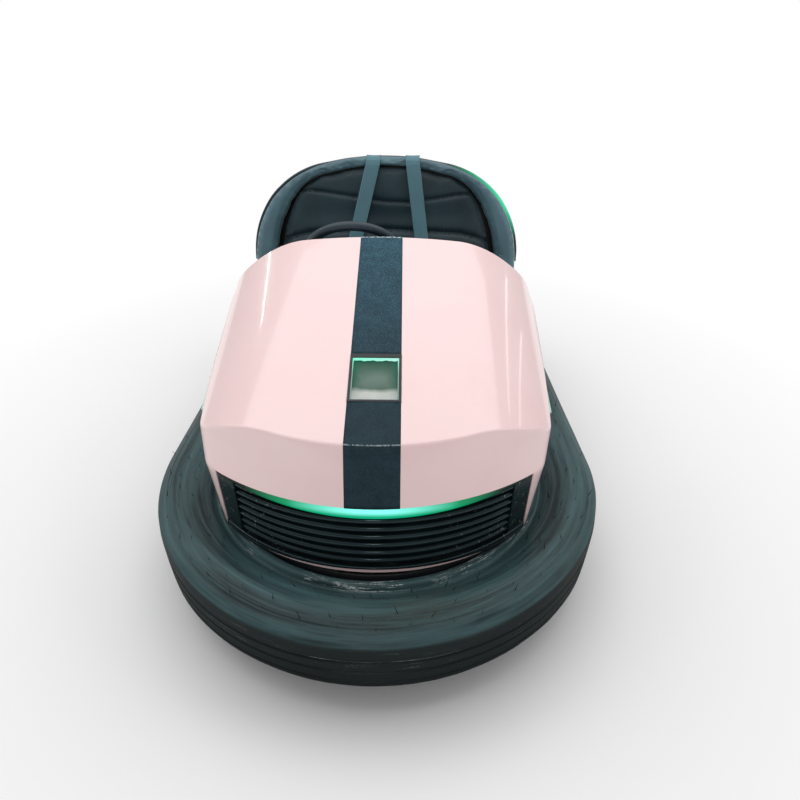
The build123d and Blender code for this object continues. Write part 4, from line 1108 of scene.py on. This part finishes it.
def square_inwards(crease, s):
    """Direction from a point of the crease over the bonnet, square to the crease."""
    ahead = crease[min(s + 1, len(crease) - 1)] - crease[max(s - 1, 0)]
    x, y = crease[s, :2] + np.array([-ahead[1], ahead[0]]) / np.linalg.norm(ahead[:2]) * CREASE_ROUND
    return unit(np.array([x, y, bonnet_height(x, y)]) - crease[s])


def roof_grid(crease, middle):
    """Points of half the bonnet: rows from the nose's crease to the cowl, columns out to the flank's crease."""
    front, side = crease[:NOSE_LAST + 1], crease[NOSE_LAST:]
    spread = np.clip((front[:, 0] - STRIPE_HALF) / (front[-1, 0] - STRIPE_HALF), 0, 1)
    roof = np.zeros((BONNET_ROWS + 1, NOSE_LAST + 1, 3))
    for j in range(BONNET_ROWS + 1):
        pull = max(0.0, 1 - (middle[j] - middle[0]) / (WINDOW_FRONT - middle[0]))
        for k in range(NOSE_LAST + 1):
            x = front[k, 0] if k <= CORE_COLUMNS else STRIPE_HALF + (side[j, 0] - STRIPE_HALF) * spread[k]
            line = middle[0] + (side[0, 1] - middle[0]) * spread[k]
            y = middle[j] + (side[j, 1] - middle[j]) * spread[k] + pull * (front[k, 1] - line)
            roof[j, k] = (x, y, bonnet_height(x, y))
    return roof


def relax_corner(roof):
    """Evens out the bonnet's grid behind its front corner."""
    corner = roof[:CORNER_PATCH, -CORNER_PATCH:]
    for step in range(CORNER_PASSES):
        corner[1:-1, 1:-1] = (corner[:-2, 1:-1] + corner[2:, 1:-1] + corner[1:-1, :-2] + corner[1:-1, 2:]) / 4
    for row in corner[1:-1, 1:-1]:
        for place in row:
            place[2] = bonnet_height(place[0], place[1])


def nose_grid():
    """Points of half the nose: wall rows from the base up, the rounded crease, and the bonnet's grid.
    Also the count of wall rows up to the grille's top."""
    crease_y = wall_crease(0)[1]
    middle = steps_through((crease_y, WINDOW_FRONT, WINDOW_REAR, COWL_Y), (FRONT_ROWS, WINDOW_ROWS, REAR_ROWS))
    shares = (middle - crease_y) / (COWL_Y - crease_y)
    stations = range(NOSE_LAST + BONNET_ROWS + 1)
    crease = np.array([wall_crease(s, shares) for s in stations])
    roof = roof_grid(crease, middle)
    levels = [BASE_Z, BASE_Z + 0.007, *np.linspace(GRILLE_FOOT, GRILLE_TOP, GRILLE_ROWS)]
    wall = np.zeros((len(levels) + UPPER_ROWS, len(crease), 3))
    bend = np.zeros((ROUND_STEPS + 1, len(crease), 3))
    for s in stations:
        def on_wall(z):
            return np.array([*wall_point(s, z, shares), z])

        down = unit(on_wall(crease[s, 2] - 0.02) - crease[s])
        row, column = (1, min(s, NOSE_LAST - 1)) if s <= NOSE_LAST else (s - NOSE_LAST, NOSE_LAST - 1)
        near = max(0.0, 1 - abs(s - NOSE_LAST) / CORNER_PATCH)
        inwards = unit(unit(roof[row, column] - crease[s]) * (1 - near) + square_inwards(crease, s) * near)
        wall_end = on_wall(crease[s, 2] + down[2] * CREASE_ROUND)
        upper = [GRILLE_TOP + (wall_end[2] - GRILLE_TOP) * (i + 1) / UPPER_ROWS for i in range(UPPER_ROWS)]
        wall[:, s] = [on_wall(z) for z in levels + upper]
        for i in range(ROUND_STEPS + 1):
            bend[i, s] = bent(wall_end, crease[s], crease[s] + inwards * CREASE_ROUND, i / ROUND_STEPS)
    roof[0, :] = bend[-1, :NOSE_LAST + 1]
    roof[1:, NOSE_LAST] = bend[-1, NOSE_LAST + 1:]
    relax_corner(roof)
    return wall, bend, roof, len(levels)


def grid_faces(points, faces, grid, keep=lambda row, column: True):
    """Adds a grid of points and its faces, with the left half mirrored."""
    rows, columns = grid.shape[:2]
    for mirror in (1, -1):
        start = len(points)
        points.extend((mirror * x, y, z) for x, y, z in grid.reshape(-1, 3))
        for row in range(rows - 1):
            for column in range(columns - 1):
                if keep(row, column):
                    a = start + row * columns + column
                    quad = (a, a + 1, a + columns + 1, a + columns)
                    faces.append(quad if mirror > 0 else quad[::-1])


def nose_shell():
    """The nose moulding with its grille opening and window, and the band on it."""
    wall, bend, roof, fixed = nose_grid()
    grille_end = CORE_COLUMNS + GRILLE_COLUMNS
    window_rows = range(FRONT_ROWS, FRONT_ROWS + WINDOW_ROWS)
    points, faces = [], []
    grid_faces(points, faces, wall, lambda row, s: not (2 <= row < fixed - 1 and s < grille_end))
    grid_faces(points, faces, bend)
    grid_faces(points, faces, roof, lambda row, k: not (row in window_rows and k < CORE_COLUMNS))
    shell = mesh_piece("nose_moulding", points, faces)
    weld(shell, SEAM)
    face_up(shell)
    give_wall(shell, ["pink_shell", "glass_fibre"], SHELL, -1, (0.0018, 3, 50))
    settle(shell, "chassis", "pink_shell", "nose_shell")

    points, faces = [], []
    columns = slice(0, CORE_COLUMNS + 1)
    grid_faces(points, faces, wall[fixed - 1:, columns])
    grid_faces(points, faces, bend[:, columns])
    tail = roof[:, columns]
    lip = tail[-1:] + np.array([0.0, 0.0008, -0.0022])
    grid_faces(points, faces, np.concatenate([tail, lip]), lambda row, k: row not in window_rows)
    band = mesh_piece("bonnet_band", points, faces)
    weld(band, SEAM)
    face_up(band)
    give_wall(band, ["glitter"], STRIPE_THICKNESS, 1)
    settle(band, "chassis", "black_gloss")


# Grille and light strip

def slat_profile():
    """Section of a slat: a louvre with a round nose that leans down towards the front."""
    depth, thick, nose, taper, lean = 0.032, 0.0118, 0.0056, 0.002, 0.22
    front = [(-nose + nose * math.cos(a), thick / 2 * math.sin(a)) for a in np.linspace(-1.5, 1.5, 11)]
    back = [(-depth, thick / 2 - taper), (-depth, -thick / 2 + taper)]
    return [(x, y - lean * x) for x, y in front + back]


def fascia_light():
    """The lit strip under the fascia, which thins out towards its ends."""
    half, high = LED_HIGH.x, GRILLE_TOP - 0.0002
    tall, rise, set_back, columns, rows = 0.0285, 0.0230, 0.0030, 96, 6
    points = []
    for x in np.linspace(-half, half, columns):
        low = GRILLE_TOP - tall + rise * (abs(x) / half) ** 2
        for share in np.linspace(0, 1, rows):
            z = low + (high - low) * share
            points.append((x, nose_front(abs(x), z) + set_back, z))
    light = give_wall(grid_piece("fascia_light", points, rows), ["green_light"], 0.004, -1)
    settle(light, "chassis", "green_light", "front_led_strip")


def cheek(side, label):
    """Gloss black plate at one end of the grille."""
    play, set_back, rows, columns = 0.001, 0.0035, 14, 8
    points = []
    for z in np.linspace(GRILLE_FOOT + play, GRILLE_TOP - play, rows):
        for x in np.linspace(GRILLE_HALF - CHEEK_PLATE, GRILLE_HALF - 0.0008, columns):
            points.append((side * x, nose_front(x, z) + set_back, z))
    plate = grid_piece("grille_cheek_" + label, points, columns, turned=side > 0)
    settle(give_wall(plate, ["slat_gloss"], 0.004, -1, (0.0012,)), "chassis", "black_gloss")


def foot_trim():
    """Black trim that wraps the foot of the grille's opening and leaves a pink lip under its middle."""
    end, proud, turned, inner = GRILLE_HALF - 0.001, 0.0004, 0.0006, 0.0075
    points = []
    for x in np.linspace(-end, end, 97):
        low = BASE_Z + turned + LIP_HEIGHT * max(0.0, 1 - (x / LIP_HALF) ** 2)
        front = nose_front(abs(x), GRILLE_FOOT)
        points += [
            (x, nose_front(abs(x), low) - proud, low), (x, front - proud, GRILLE_FOOT),
            (x, front + 0.0002, GRILLE_FOOT + turned), (x, front + inner, GRILLE_FOOT + turned),
        ]
    trim = give_wall(grid_piece("grille_foot_trim", points, 4), ["slat_gloss"], 0.0010, 1)
    settle(trim, "chassis", "black_gloss")


def grille():
    """The slats, the plates at their ends, the light above and the trim along the opening's foot."""
    overlap, space_above, set_back = 0.004, 0.010, 0.007
    half = GRILLE_HALF - CHEEK_PLATE + overlap
    pitch = (GRILLE_TOP - GRILLE_FOOT - space_above) / SLAT_COUNT
    lines = []
    for i in range(SLAT_COUNT):
        z = GRILLE_FOOT + pitch * (i + 0.5)
        lines.append([(x, nose_front(abs(x), z) + set_back, z) for x in np.linspace(-half, half, 90)])
    sweep("grille_bars", lines, slat_profile(), "slat_gloss", "black_gloss", "grille_slats")
    cheek(-1, "left")
    cheek(1, "right")
    fascia_light()
    foot_trim()


# Bonnet window and edge lights

def window_place(x, y, depth):
    """A point on the flat of the bonnet window, sunk below the crown."""
    return (x, y, bonnet_height(0.0, y) - depth)


def rim_outline(half, front, rear, wave=0.0):
    """Points round a rectangle on the bonnet, from its left front corner, with a ragged rear edge."""
    shares = [i / 30 for i in range(30)]
    line = [(-half, front + (rear - front) * share) for share in shares]
    line += [(-half + 2 * half * share, rear) for share in shares]
    line += [(half, rear - (rear - front) * share) for share in shares]
    line += [(half - 2 * half * share, front) for share in shares]
    waves = [wave * (1 + math.sin(x * 190) + 0.6 * math.sin(x * 430 + 1)) if y == rear else 0 for x, y in line]
    return [(x, y - fray) for (x, y), fray in zip(line, waves)]


def window_rim(name, outer, inner, depth, thickness, material):
    """A flat rim between two outlines of the same count of points."""
    count = len(outer)
    points = [window_place(x, y, depth) for x, y in outer + inner]
    faces = [(i, (i + 1) % count, count + (i + 1) % count, count + i) for i in range(count)]
    rim = mesh_piece(name, points, faces)
    face_up(rim)
    return give_wall(rim, [material], thickness, -1, (0.0005,))


def window():
    """The bonnet window: black surround, lit edge and frosted pane."""
    surround = window_rim(
        "window_surround", rim_outline(STRIPE_HALF, WINDOW_FRONT, WINDOW_REAR),
        rim_outline(PANE_HALF, PANE_FRONT, PANE_REAR), -0.0008, 0.0045, "window_black",
    )
    settle(surround, "chassis", "black_gloss", "window_frame")
    glow = window_rim(
        "window_edge_light", rim_outline(PANE_HALF, PANE_FRONT + 0.0004, PANE_REAR),
        rim_outline(PANE_HALF - 0.0028, PANE_FRONT + 0.0016, PANE_REAR - 0.0085, 0.0011),
        0.0010, 0.0012, "window_glow",
    )
    settle(glow, "chassis", "green_light", "window_light_ring")
    overlap, depth = 0.002, 0.0028
    half = PANE_HALF + overlap
    ends = (PANE_FRONT - overlap, PANE_REAR + overlap)
    points = [window_place(x, y, depth) for y in ends for x in (-half, half)]
    pane = give_wall(mesh_piece("window_pane", points, [(0, 1, 3, 2)]), ["window_lens"], 0.003, -1)
    settle(pane, "chassis", "window_lens", "window_lens")


def side_lights():
    """Thin lit strips along the flanks."""
    corner_y = nose_corner(SIDE_LIGHT_Z)[1]
    shares = np.linspace((SIDE_LIGHT_Y - corner_y) / (COWL_Y - corner_y), 0.985, 50)
    right = [(*flank_point(share, SIDE_LIGHT_Z), SIDE_LIGHT_Z) for share in shares]
    left = [(-x, y, z) for x, y, z in reversed(right)]
    upper = [(0.0042, 0.0012), (0.0022, 0.0028), (-0.0040, 0.0028)]
    profile = [(x, -y) for x, y in reversed(upper)] + upper
    sweep("flank_lights", [right, left], profile, "side_light", "green_light", "side_led_strips")


# Seat

# Sewn channels of the seat back's pad. Columns: points (x, height up the back), depth, width
BACK_CHANNELS = [
    ([(-0.345, 0.352), (-0.22, 0.337), (-0.10, 0.320), (0.0, 0.306), (0.08, 0.304), (0.18, 0.318),
      (0.345, 0.345)], 0.010, 0.0065),
    ([(-0.43, 0.150), (-0.34, 0.182), (-0.265, 0.200), (0.0, 0.212), (0.265, 0.200), (0.34, 0.182),
      (0.43, 0.150)], 0.013, 0.009),
]
CUSHION_CHANNELS = [0.0, -0.185, 0.185]
# Half of the welt's line, as (x, up the back) from its left foot to the middle
WELT_LINE = [
    (-0.394, 0.10), (-0.394, 0.166), (-0.388, 0.210), (-0.372, 0.252), (-0.350, 0.305), (-0.318, 0.350),
    (-0.264, 0.390), (-0.190, 0.414), (-0.11, 0.427), (0.0, 0.432),
]


def seat_point(x, up, out):
    """A point of the seat back: across, up from its foot, and forward of the board."""
    return SEAT_FOOT + np.array([x, 0.0, 0.0]) + SEAT_UP * up + SEAT_OUT * out


def seat_places(points):
    """World points as across, up the back and forward of the board."""
    away = points - SEAT_FOOT
    return away[:, 0], away @ SEAT_UP, away @ SEAT_OUT


def seat_line(line, out, steps):
    """Even steps along a line of (x, up) on the seat back, forward of the board."""
    places = np.linspace(0, len(line) - 1, steps)
    x, up = (np.interp(places, range(len(line)), [point[i] for point in line]) for i in range(2))
    return [seat_point(*place, out) for place in zip(x, up)]


def back_light():
    """Edge light that runs round the seat back behind its roll."""
    growth, radius, out_of_board, foot = 0.0020, 0.0060, 0.018, 0.10
    across, up = seat_places(mesh_values(NODES["back_border"]))[:2]
    line = []
    for angle in np.radians(np.arange(178, 1, -3)):
        heading = np.array([math.cos(angle), math.sin(angle)])
        far = np.argmax(across * heading[0] + up * heading[1])
        line.append((across[far] + growth * heading[0], up[far] + growth * heading[1]))
    line = [(line[0][0], foot), *line, (line[-1][0], foot)]
    path = seat_line(line, out_of_board, 240)
    sweep("back_edge_light", [path], circle(radius, 12), "back_light", "green_light")


def piping():
    """A thin welt along the seat back's roll, where the pad meets it."""
    radius, out_of_board = 0.0028, 0.0475
    line = WELT_LINE + [(-x, up) for x, up in reversed(WELT_LINE[:-1])]
    sweep("back_welt", [seat_line(line, out_of_board, 150)], circle(radius, 8), "border_vinyl", "border_vinyl")


def inflate(name, node, cap, pressure=4.0, shrink=0.004, frames=20):
    """A filled pad from a CAD node: an even mesh, then cloth under pressure, each point's travel capped."""
    piece = cad_copy(name, node)
    remesh = piece.modifiers.new("even", "REMESH")
    remesh.mode = "VOXEL"
    remesh.voxel_size = SEAT_VOXEL
    bake_modifiers(piece)
    piece.data.shade_smooth()
    inside = mesh_values(piece) - mesh_values(piece, "normal") * shrink
    set_points(piece, inside)
    cloth = piece.modifiers.new("fill", "CLOTH")
    settings = {
        "quality": 5, "mass": 0.3, "tension_stiffness": 15, "compression_stiffness": 15, "shear_stiffness": 5,
        "bending_stiffness": 0.5, "use_pressure": True, "uniform_pressure_force": pressure,
    }
    for key, value in settings.items():
        setattr(cloth.settings, key, value)
    cloth.settings.effector_weights.gravity = 0.0
    cloth.point_cache.frame_start = 1
    cloth.point_cache.frame_end = frames
    for number in range(1, frames + 1):
        bpy.context.scene.frame_set(number)
    bake_modifiers(piece)
    moved = mesh_values(piece) - inside
    length = np.linalg.norm(moved, axis=1, keepdims=True)
    set_points(piece, inside + moved * np.minimum(1.0, cap / np.maximum(length, 1e-9)))
    bpy.context.scene.frame_set(1)
    return piece


def finer(piece):
    """One level of subdivision."""
    surface = piece.modifiers.new("finer", "SUBSURF")
    surface.levels = surface.render_levels = 1
    bake_modifiers(piece)
    piece.data.shade_smooth()


def pressed(distance, width):
    """How deep a sewn channel presses at a distance from it."""
    return np.exp(-np.abs(distance / width) ** 1.4)


def finish_pad(pad, slot, node):
    """A pad's material and its place in the car."""
    dress(pad, slot)
    settle(pad, "chassis", slot, node)


def seat_back():
    """The seat back's pad with its sewn channels, and the roll round it."""
    pad = inflate("back_cushion", "back_pad", 0.009)
    finer(pad)
    points = mesh_values(pad)
    across, up, out = seat_places(points)
    front = np.clip((out - 0.012) / 0.02, 0, 1)
    depth = np.zeros(len(points))
    for line, deep, width in BACK_CHANNELS:
        height = np.interp(across, [q[0] for q in line], [q[1] for q in line])
        ends = np.clip((line[-1][0] + 0.01 - np.abs(across)) / 0.02, 0, 1)
        depth = np.maximum(depth, deep * pressed(up - height, width) * ends)
    puckers = 0.0014 * np.sin(across * 330 + np.sin(across * 90) * 2) * (depth / 0.012)
    hollow = 0.010 * np.exp(-((up - 0.26) / 0.05) ** 2) * np.clip(1 - (across / 0.36) ** 2, 0, 1)
    swell = 0.010 * np.exp(-((up - 0.10) / 0.07) ** 2) * np.clip(1 - (across / 0.40) ** 4, 0, 1)
    set_points(pad, points - np.outer((depth + puckers + hollow - swell) * front, SEAT_OUT))
    finish_pad(pad, "seat_vinyl", "back_pad")

    roll = inflate("back_roll", "back_border", 0.010)
    finer(roll)
    finish_pad(roll, "border_vinyl", "back_border")


def seat_cushion():
    """The seat cushion with sewn channels along it and a seam near its front."""
    cushion = inflate("bench_cushion", "seat_cushion", 0.014)
    points = mesh_values(cushion)
    low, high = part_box("seat_cushion")
    top = np.clip((points[:, 2] - high.z + 0.035) / 0.03, 0, 1)
    depths = [0.012 * pressed(points[:, 0] - place, 0.008) for place in CUSHION_CHANNELS]
    depths.append(0.010 * pressed(points[:, 1] - low.y - 0.075, 0.008))
    points[:, 2] -= np.max(depths, axis=0) * top
    set_points(cushion, points)
    finer(cushion)
    finish_pad(cushion, "seat_vinyl", "seat_cushion")


# Belts. Columns: name, x at the top of the back, x at the foot, lean of the webbing's face
BELTS = [("belt_left", -0.042, -0.150, 0.10), ("belt_right", 0.092, 0.150, -0.06)]
BELT_HALF = 0.024
BELT_THICKNESS = 0.0022
BELT_STEPS = 240
BELT_COLUMNS = 13
# A belt's way out of the slot between board and tail and over the roll. Columns: up the back, forward
BELT_TOP = [
    (0.4390, -0.0180), (0.4460, -0.0178), (0.4515, -0.0155), (0.4552, -0.0110), (0.4572, -0.0045),
    (0.4580, 0.004), (0.4582, 0.022), (0.4565, 0.044), (0.4515, 0.0575), (0.4420, 0.0665),
]
BELT_DROP = 0.426


def belt_path(top_x, foot_x):
    """The belt's middle line: out between board and tail, over the roll and down the front."""
    path = [(top_x, up, out) for up, out in BELT_TOP]
    for i in range(1, 41):
        share = i / 40
        sag = 0.006 * math.sin(math.pi * min(1.0, share * 1.15))
        path.append((top_x + (foot_x - top_x) * share, 0.438 - BELT_DROP * share, 0.0695 - sag))
    return np.array([seat_point(*place) for place in path])


def belt(name, top_x, foot_x, lean):
    """A belt: webbing along its path, slightly bowed and twisted."""
    centre = belt_path(top_x, foot_x)
    ahead = np.gradient(centre, axis=0)
    ahead /= np.linalg.norm(ahead, axis=1, keepdims=True)
    along = path_lengths(centre)
    fine = np.linspace(0, along[-1], BELT_STEPS)
    centre, ahead = (np.stack([np.interp(fine, along, values[:, i]) for i in range(3)], axis=1)
                     for values in (centre, ahead))
    skew = np.clip((fine - 0.10) / 0.1, 0, 1) * (foot_x - top_x) / BELT_DROP
    side = np.array([1.0, 0, 0]) + np.outer(skew, SEAT_UP)
    side /= np.linalg.norm(side, axis=1, keepdims=True)
    face = np.cross(ahead, side)
    columns = np.linspace(-1, 1, BELT_COLUMNS)
    points = []
    bow_height, bow_rate, twist_share = 0.0012, 31, 0.3
    for step in range(BELT_STEPS):
        for column in columns:
            bow = bow_height * (1 - column * column) * math.sin(fine[step] * bow_rate)
            twist = lean * column * BELT_HALF * math.sin(math.pi * step / (BELT_STEPS - 1)) * twist_share
            points.append(centre[step] + side[step] * column * BELT_HALF - face[step] * (bow + twist))
    piece = grid_piece(name + "_webbing", points, BELT_COLUMNS)
    uv = piece.data.uv_layers.new(name="webbing")
    for loop in piece.data.loops:
        step, k = divmod(loop.vertex_index, BELT_COLUMNS)
        uv.data[loop.index].uv = (columns[k] * BELT_HALF, fine[step])
    settle(give_wall(piece, ["belt_webbing"], BELT_THICKNESS, 0), "chassis", "belt_webbing", name)


# Softened solids, screws and wheels

# CAD solids whose sharp edges are rounded. Columns: name, node, material and slot, body, width, angle
SOFTENED = [
    ("dash_board", "dash_panel", "tub_black", "chassis", 0.0012, 35),
    ("front_bulkhead", "bulkhead", "tub_black", "chassis", 0.0012, 35),
    ("foot_pedal", "pedal", "black_steel", "chassis", 0.0020, 35),
    ("column_tube", "steering_column", "black_steel", "chassis", 0.0012, 35),
    ("seat_box", "seat_base", "tub_black", "chassis", 0.0030, 35),
    ("wheel_centre", "wheel_spider", "black_steel", "steering_wheel", 0.0016, 35),
    ("back_panel", "back_board", "tub_black", "chassis", 0.0020, 35),
    ("hoop_band", "tyre_hoop", "black_steel", "chassis", 0.0012, 35),
    ("tail_moulding", "tail_shell", "pink_shell", "chassis", 0.0020, 30),
    ("flank_panel_left", "side_panel_left", "pink_shell", "chassis", 0.0020, 30),
    ("flank_panel_right", "side_panel_right", "pink_shell", "chassis", 0.0020, 30),
    ("tail_lenses", "tail_lamps", "red_lamp", "chassis", 0.0015, 30),
    ("rear_rim_left", "rear_hub_left", "cast_hub", "rear_wheel_left", 0.0010, 35),
    ("rear_rim_right", "rear_hub_right", "cast_hub", "rear_wheel_right", 0.0010, 35),
    ("drive_rim", "drive_hub", "cast_hub", "drive_wheel", 0.0010, 35),
    ("drive_yoke", "drive_fork", "black_steel", "drive_unit", 0.0012, 35),
    ("drive_motor_case", "drive_motor", "motor_black", "drive_unit", 0.0015, 35),
    ("pivot_bridge", "drive_bridge", "black_steel", "chassis", 0.0012, 35),
    ("frame_rails", "chassis_rails", "black_steel", "chassis", 0.0012, 35),
    ("axle_beam", "rear_axle", "axle_steel", "chassis", 0.0012, 35),
    ("belly_pan", "floor_pan", "grey_steel", "chassis", 0.0006, 35),
]
# Wheels. Columns: name, node, body, places of the tread's grooves across it
WHEELS = [
    ("rear_tread_left", "rear_tyre_left", "rear_wheel_left", (-0.011, 0.0, 0.011)),
    ("rear_tread_right", "rear_tyre_right", "rear_wheel_right", (-0.011, 0.0, 0.011)),
    ("drive_tread", "drive_tyre", "drive_wheel", (-0.016, -0.0055, 0.0055, 0.016)),
]


def soften(name, node, slot, body, width, angle):
    """A CAD solid with its sharp edges rounded."""
    piece = cad_copy(name, node)
    edit(piece, lambda work: bmesh.ops.dissolve_limit(
        work, angle_limit=math.radians(0.6), verts=work.verts, edges=work.edges))
    piece.data.shade_smooth()
    dress(piece, slot)
    bevel(piece, width, 2, angle)
    settle(bake_modifiers(piece), body, slot, node)


def button_head():
    """A button head screw of unit radius with a hexagon socket, standing on +Z."""
    sides = 12
    rings = [(1.0, 0.0), (1.0, 0.22), (0.82, 0.48), (0.50, 0.60), (0.46, 0.60), (0.42, 0.30)]
    points = [(x, y, z) for radius, z in rings for x, y in circle(radius, sides)]
    faces = []
    for start in range(0, (len(rings) - 1) * sides, sides):
        for k in range(sides):
            a, b = start + k, start + (k + 1) % sides
            faces.append((a, b, b + sides, a + sides))
    last = (len(rings) - 1) * sides
    faces += [tuple(range(last, last + sides)), tuple(range(sides - 1, -1, -1))]
    head = mesh_piece("screw_head", points, faces)
    head.data.shade_flat()
    return head


def screws(name, places, size, material):
    """Screws at places, each given as a point and the direction that its head faces."""
    holder = mesh_piece("screw_places", [place for place, aim in places], [])
    layer = holder.data.attributes.new("aim", "FLOAT_VECTOR", "POINT")
    layer.data.foreach_set("vector", np.array([aim for place, aim in places], dtype=np.float32).ravel())
    inputs = {"Places": holder, "Head": button_head(), "Size": size}
    settle(run_tree(name, SCREWS, material, inputs), "chassis", "axle_steel")


def surface_place(node, start, heading):
    """Where a ray from a start meets a CAD node, and the surface's direction there."""
    mesh = NODES[node].data
    tree = BVHTree.FromPolygons([v.co for v in mesh.vertices], [p.vertices for p in mesh.polygons])
    place, normal, index, distance = tree.ray_cast(Vector(start), Vector(heading).normalized())
    return tuple(place), tuple(normal)


def heading(degrees):
    """Direction in plan at an angle from X."""
    return math.cos(math.radians(degrees)), math.sin(math.radians(degrees))


def all_screws():
    """Screws round the foot of the body moulding, on the dash and round the pan."""
    level = 0.285
    places = []
    for side, panel in ((-1, "side_panel_left"), (1, "side_panel_right")):
        for node, rows in (("nose_shell", (-0.40, -0.28, -0.16, -0.04)), (panel, (0.09, 0.21, 0.33))):
            places += [surface_place(node, (side, y, level), (-side, 0, 0)) for y in rows]
    for x, y in map(heading, range(20, 161, 20)):
        places.append(surface_place("tail_shell", (x, REAR_CENTRE + y, level), (-x, -y, 0)))
    screws("shell_screws", places, 0.0058, "bright_screw")
    spots = [(x, 0.0252, z) for x in (-0.36, -0.20, 0.02, 0.20, 0.36) for z in (0.665, 0.722)]
    spots = [spot for spot in spots if abs(spot[0]) < 0.36 or spot[2] < 0.70]
    screws("dash_screws", [(spot, (0, 1, 0)) for spot in spots], 0.0050, "axle_steel")
    ring, stretch = 0.385, 0.30
    spots = [(ring * x, (ring + stretch) * y, 0.1302) for x, y in map(heading, range(0, 360, 20))]
    screws("pan_screws", [(spot, (0, 0, -1)) for spot in spots], 0.0062, "axle_steel")


def wheel_tyre(name, node, body, ribs):
    """A solid rubber tyre with grooves round its tread."""
    low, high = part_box(node)
    radius, half, centre = (high.z - low.z) / 2, (high.x - low.x) / 2, (low + high) / 2
    bore = radius - (0.022 if radius < 0.105 else 0.026)
    shoulder = [(bore, half), (radius - 0.008, half), (radius - 0.003, half - 0.0025), (radius, half - 0.007)]
    outline = [(r, -x) for r, x in shoulder]
    for x in np.linspace(-half + 0.007, half - 0.007, 61):
        outline.append((radius - max(0.0035 * math.exp(-((x - at) / 0.0016) ** 4) for at in ribs), x))
    outline += shoulder[::-1]
    steps, count = 72, len(outline)
    points, faces = [], []
    for k in range(steps):
        angle = 2 * math.pi * k / steps
        ahead = (k + 1) % steps * count
        for i, (r, x) in enumerate(outline):
            points.append((centre[0] + x, centre[1] + r * math.cos(angle), centre[2] + r * math.sin(angle)))
            after = (i + 1) % count
            faces.append((k * count + i, k * count + after, ahead + after, ahead + i))
    piece = mesh_piece(name, points, faces)
    weld(piece)
    dress(piece, "wheel_rubber")
    settle(piece, body, "wheel_rubber", node)


def mat():
    """Ribbed rubber mat of the footwell."""
    low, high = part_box("footwell_mat")
    rib_count, valley = 28, high.z - 0.0012
    rib = [(0.15, valley), (0.30, high.z), (0.70, high.z), (0.85, valley)]
    profile = [(low.y, low.z), (low.y, valley)]
    pitch = (high.y - low.y) / rib_count
    for k in range(rib_count):
        profile += [(low.y + pitch * (k + share), z) for share, z in rib]
    profile += [(high.y, valley), (high.y, low.z)]
    line = [(low.x, 0.0, 0.0), (high.x, 0.0, 0.0)]
    piece = sweep(
        "ribbed_mat", [line], [(-y, z) for y, z in profile], "mat_rubber", "mat_rubber", "footwell_mat",
    )
    piece.data.shade_flat()


def dress_frame():
    """Materials and slots for every CAD node."""
    special = {"side_led_strips": "side_light", "back_led_strip": "back_light"}
    for name, piece in NODES.items():
        dress(piece, special.get(name, SLOT_OF_NODE[name]))


# Studio

def lamp(name, place, size, turn, power, target):
    """A rectangular lamp that looks at its target."""
    data = bpy.data.lights.new(name, "AREA")
    data.shape = "RECTANGLE"
    data.size, data.size_y = size
    data.energy = power
    made = place_object(name, data)
    made.location = place
    aim = (Vector(target) - Vector(place)).to_track_quat("-Z", "Y").to_matrix()
    made.rotation_euler = (aim @ Matrix.Rotation(math.radians(turn), 3, "Z")).to_euler()


def studio():
    """Floor, lamps, world and the camera at the photograph's angle."""
    corners = [(-1, -1), (1, -1), (1, 1), (-1, 1)]
    floor = mesh_piece("floor", [(x * FLOOR_HALF, y * FLOOR_HALF, 0) for x, y in corners], [(0, 1, 2, 3)])
    dress(floor, "floor")
    world = bpy.data.worlds.new("studio")
    bpy.context.scene.world = world
    world.use_nodes = True
    tree = world.node_tree
    back = tree.nodes["Background"]
    back.inputs["Color"].default_value = (1.0, 1.0, 1.0, 1)
    seen = Value(add_node(tree, "ShaderNodeLightPath").outputs["Is Camera Ray"])
    tree.links.new(seen.blend(WORLD_LIGHT, 1.0).socket, back.inputs["Strength"])
    for row in LAMPS:
        lamp(*row)
    data = bpy.data.cameras.new("camera")
    data.sensor_width = CAMERA_SENSOR
    data.lens = CAMERA_LENS
    camera = place_object("camera", data)
    camera.matrix_world = (
        Matrix.Translation(CAMERA_PLACE)
        @ Matrix.Rotation(math.radians(CAMERA_YAW), 4, "Z")
        @ Matrix.Rotation(math.radians(90 - CAMERA_PITCH), 4, "X")
        @ Matrix.Rotation(math.radians(CAMERA_ROLL), 4, "Z")
    )
    bpy.context.scene.camera = camera
    bpy.context.scene.view_settings.view_transform = "Standard"


dress_frame()
nose_shell()
tyre_ring()
grille()
window()
side_lights()
seat_back()
back_light()
seat_cushion()
for belt_row in BELTS:
    belt(*belt_row)
piping()
for solid_row in SOFTENED:
    soften(*solid_row)
mat()
for wheel_row in WHEELS:
    wheel_tyre(*wheel_row)
all_screws()
studio()
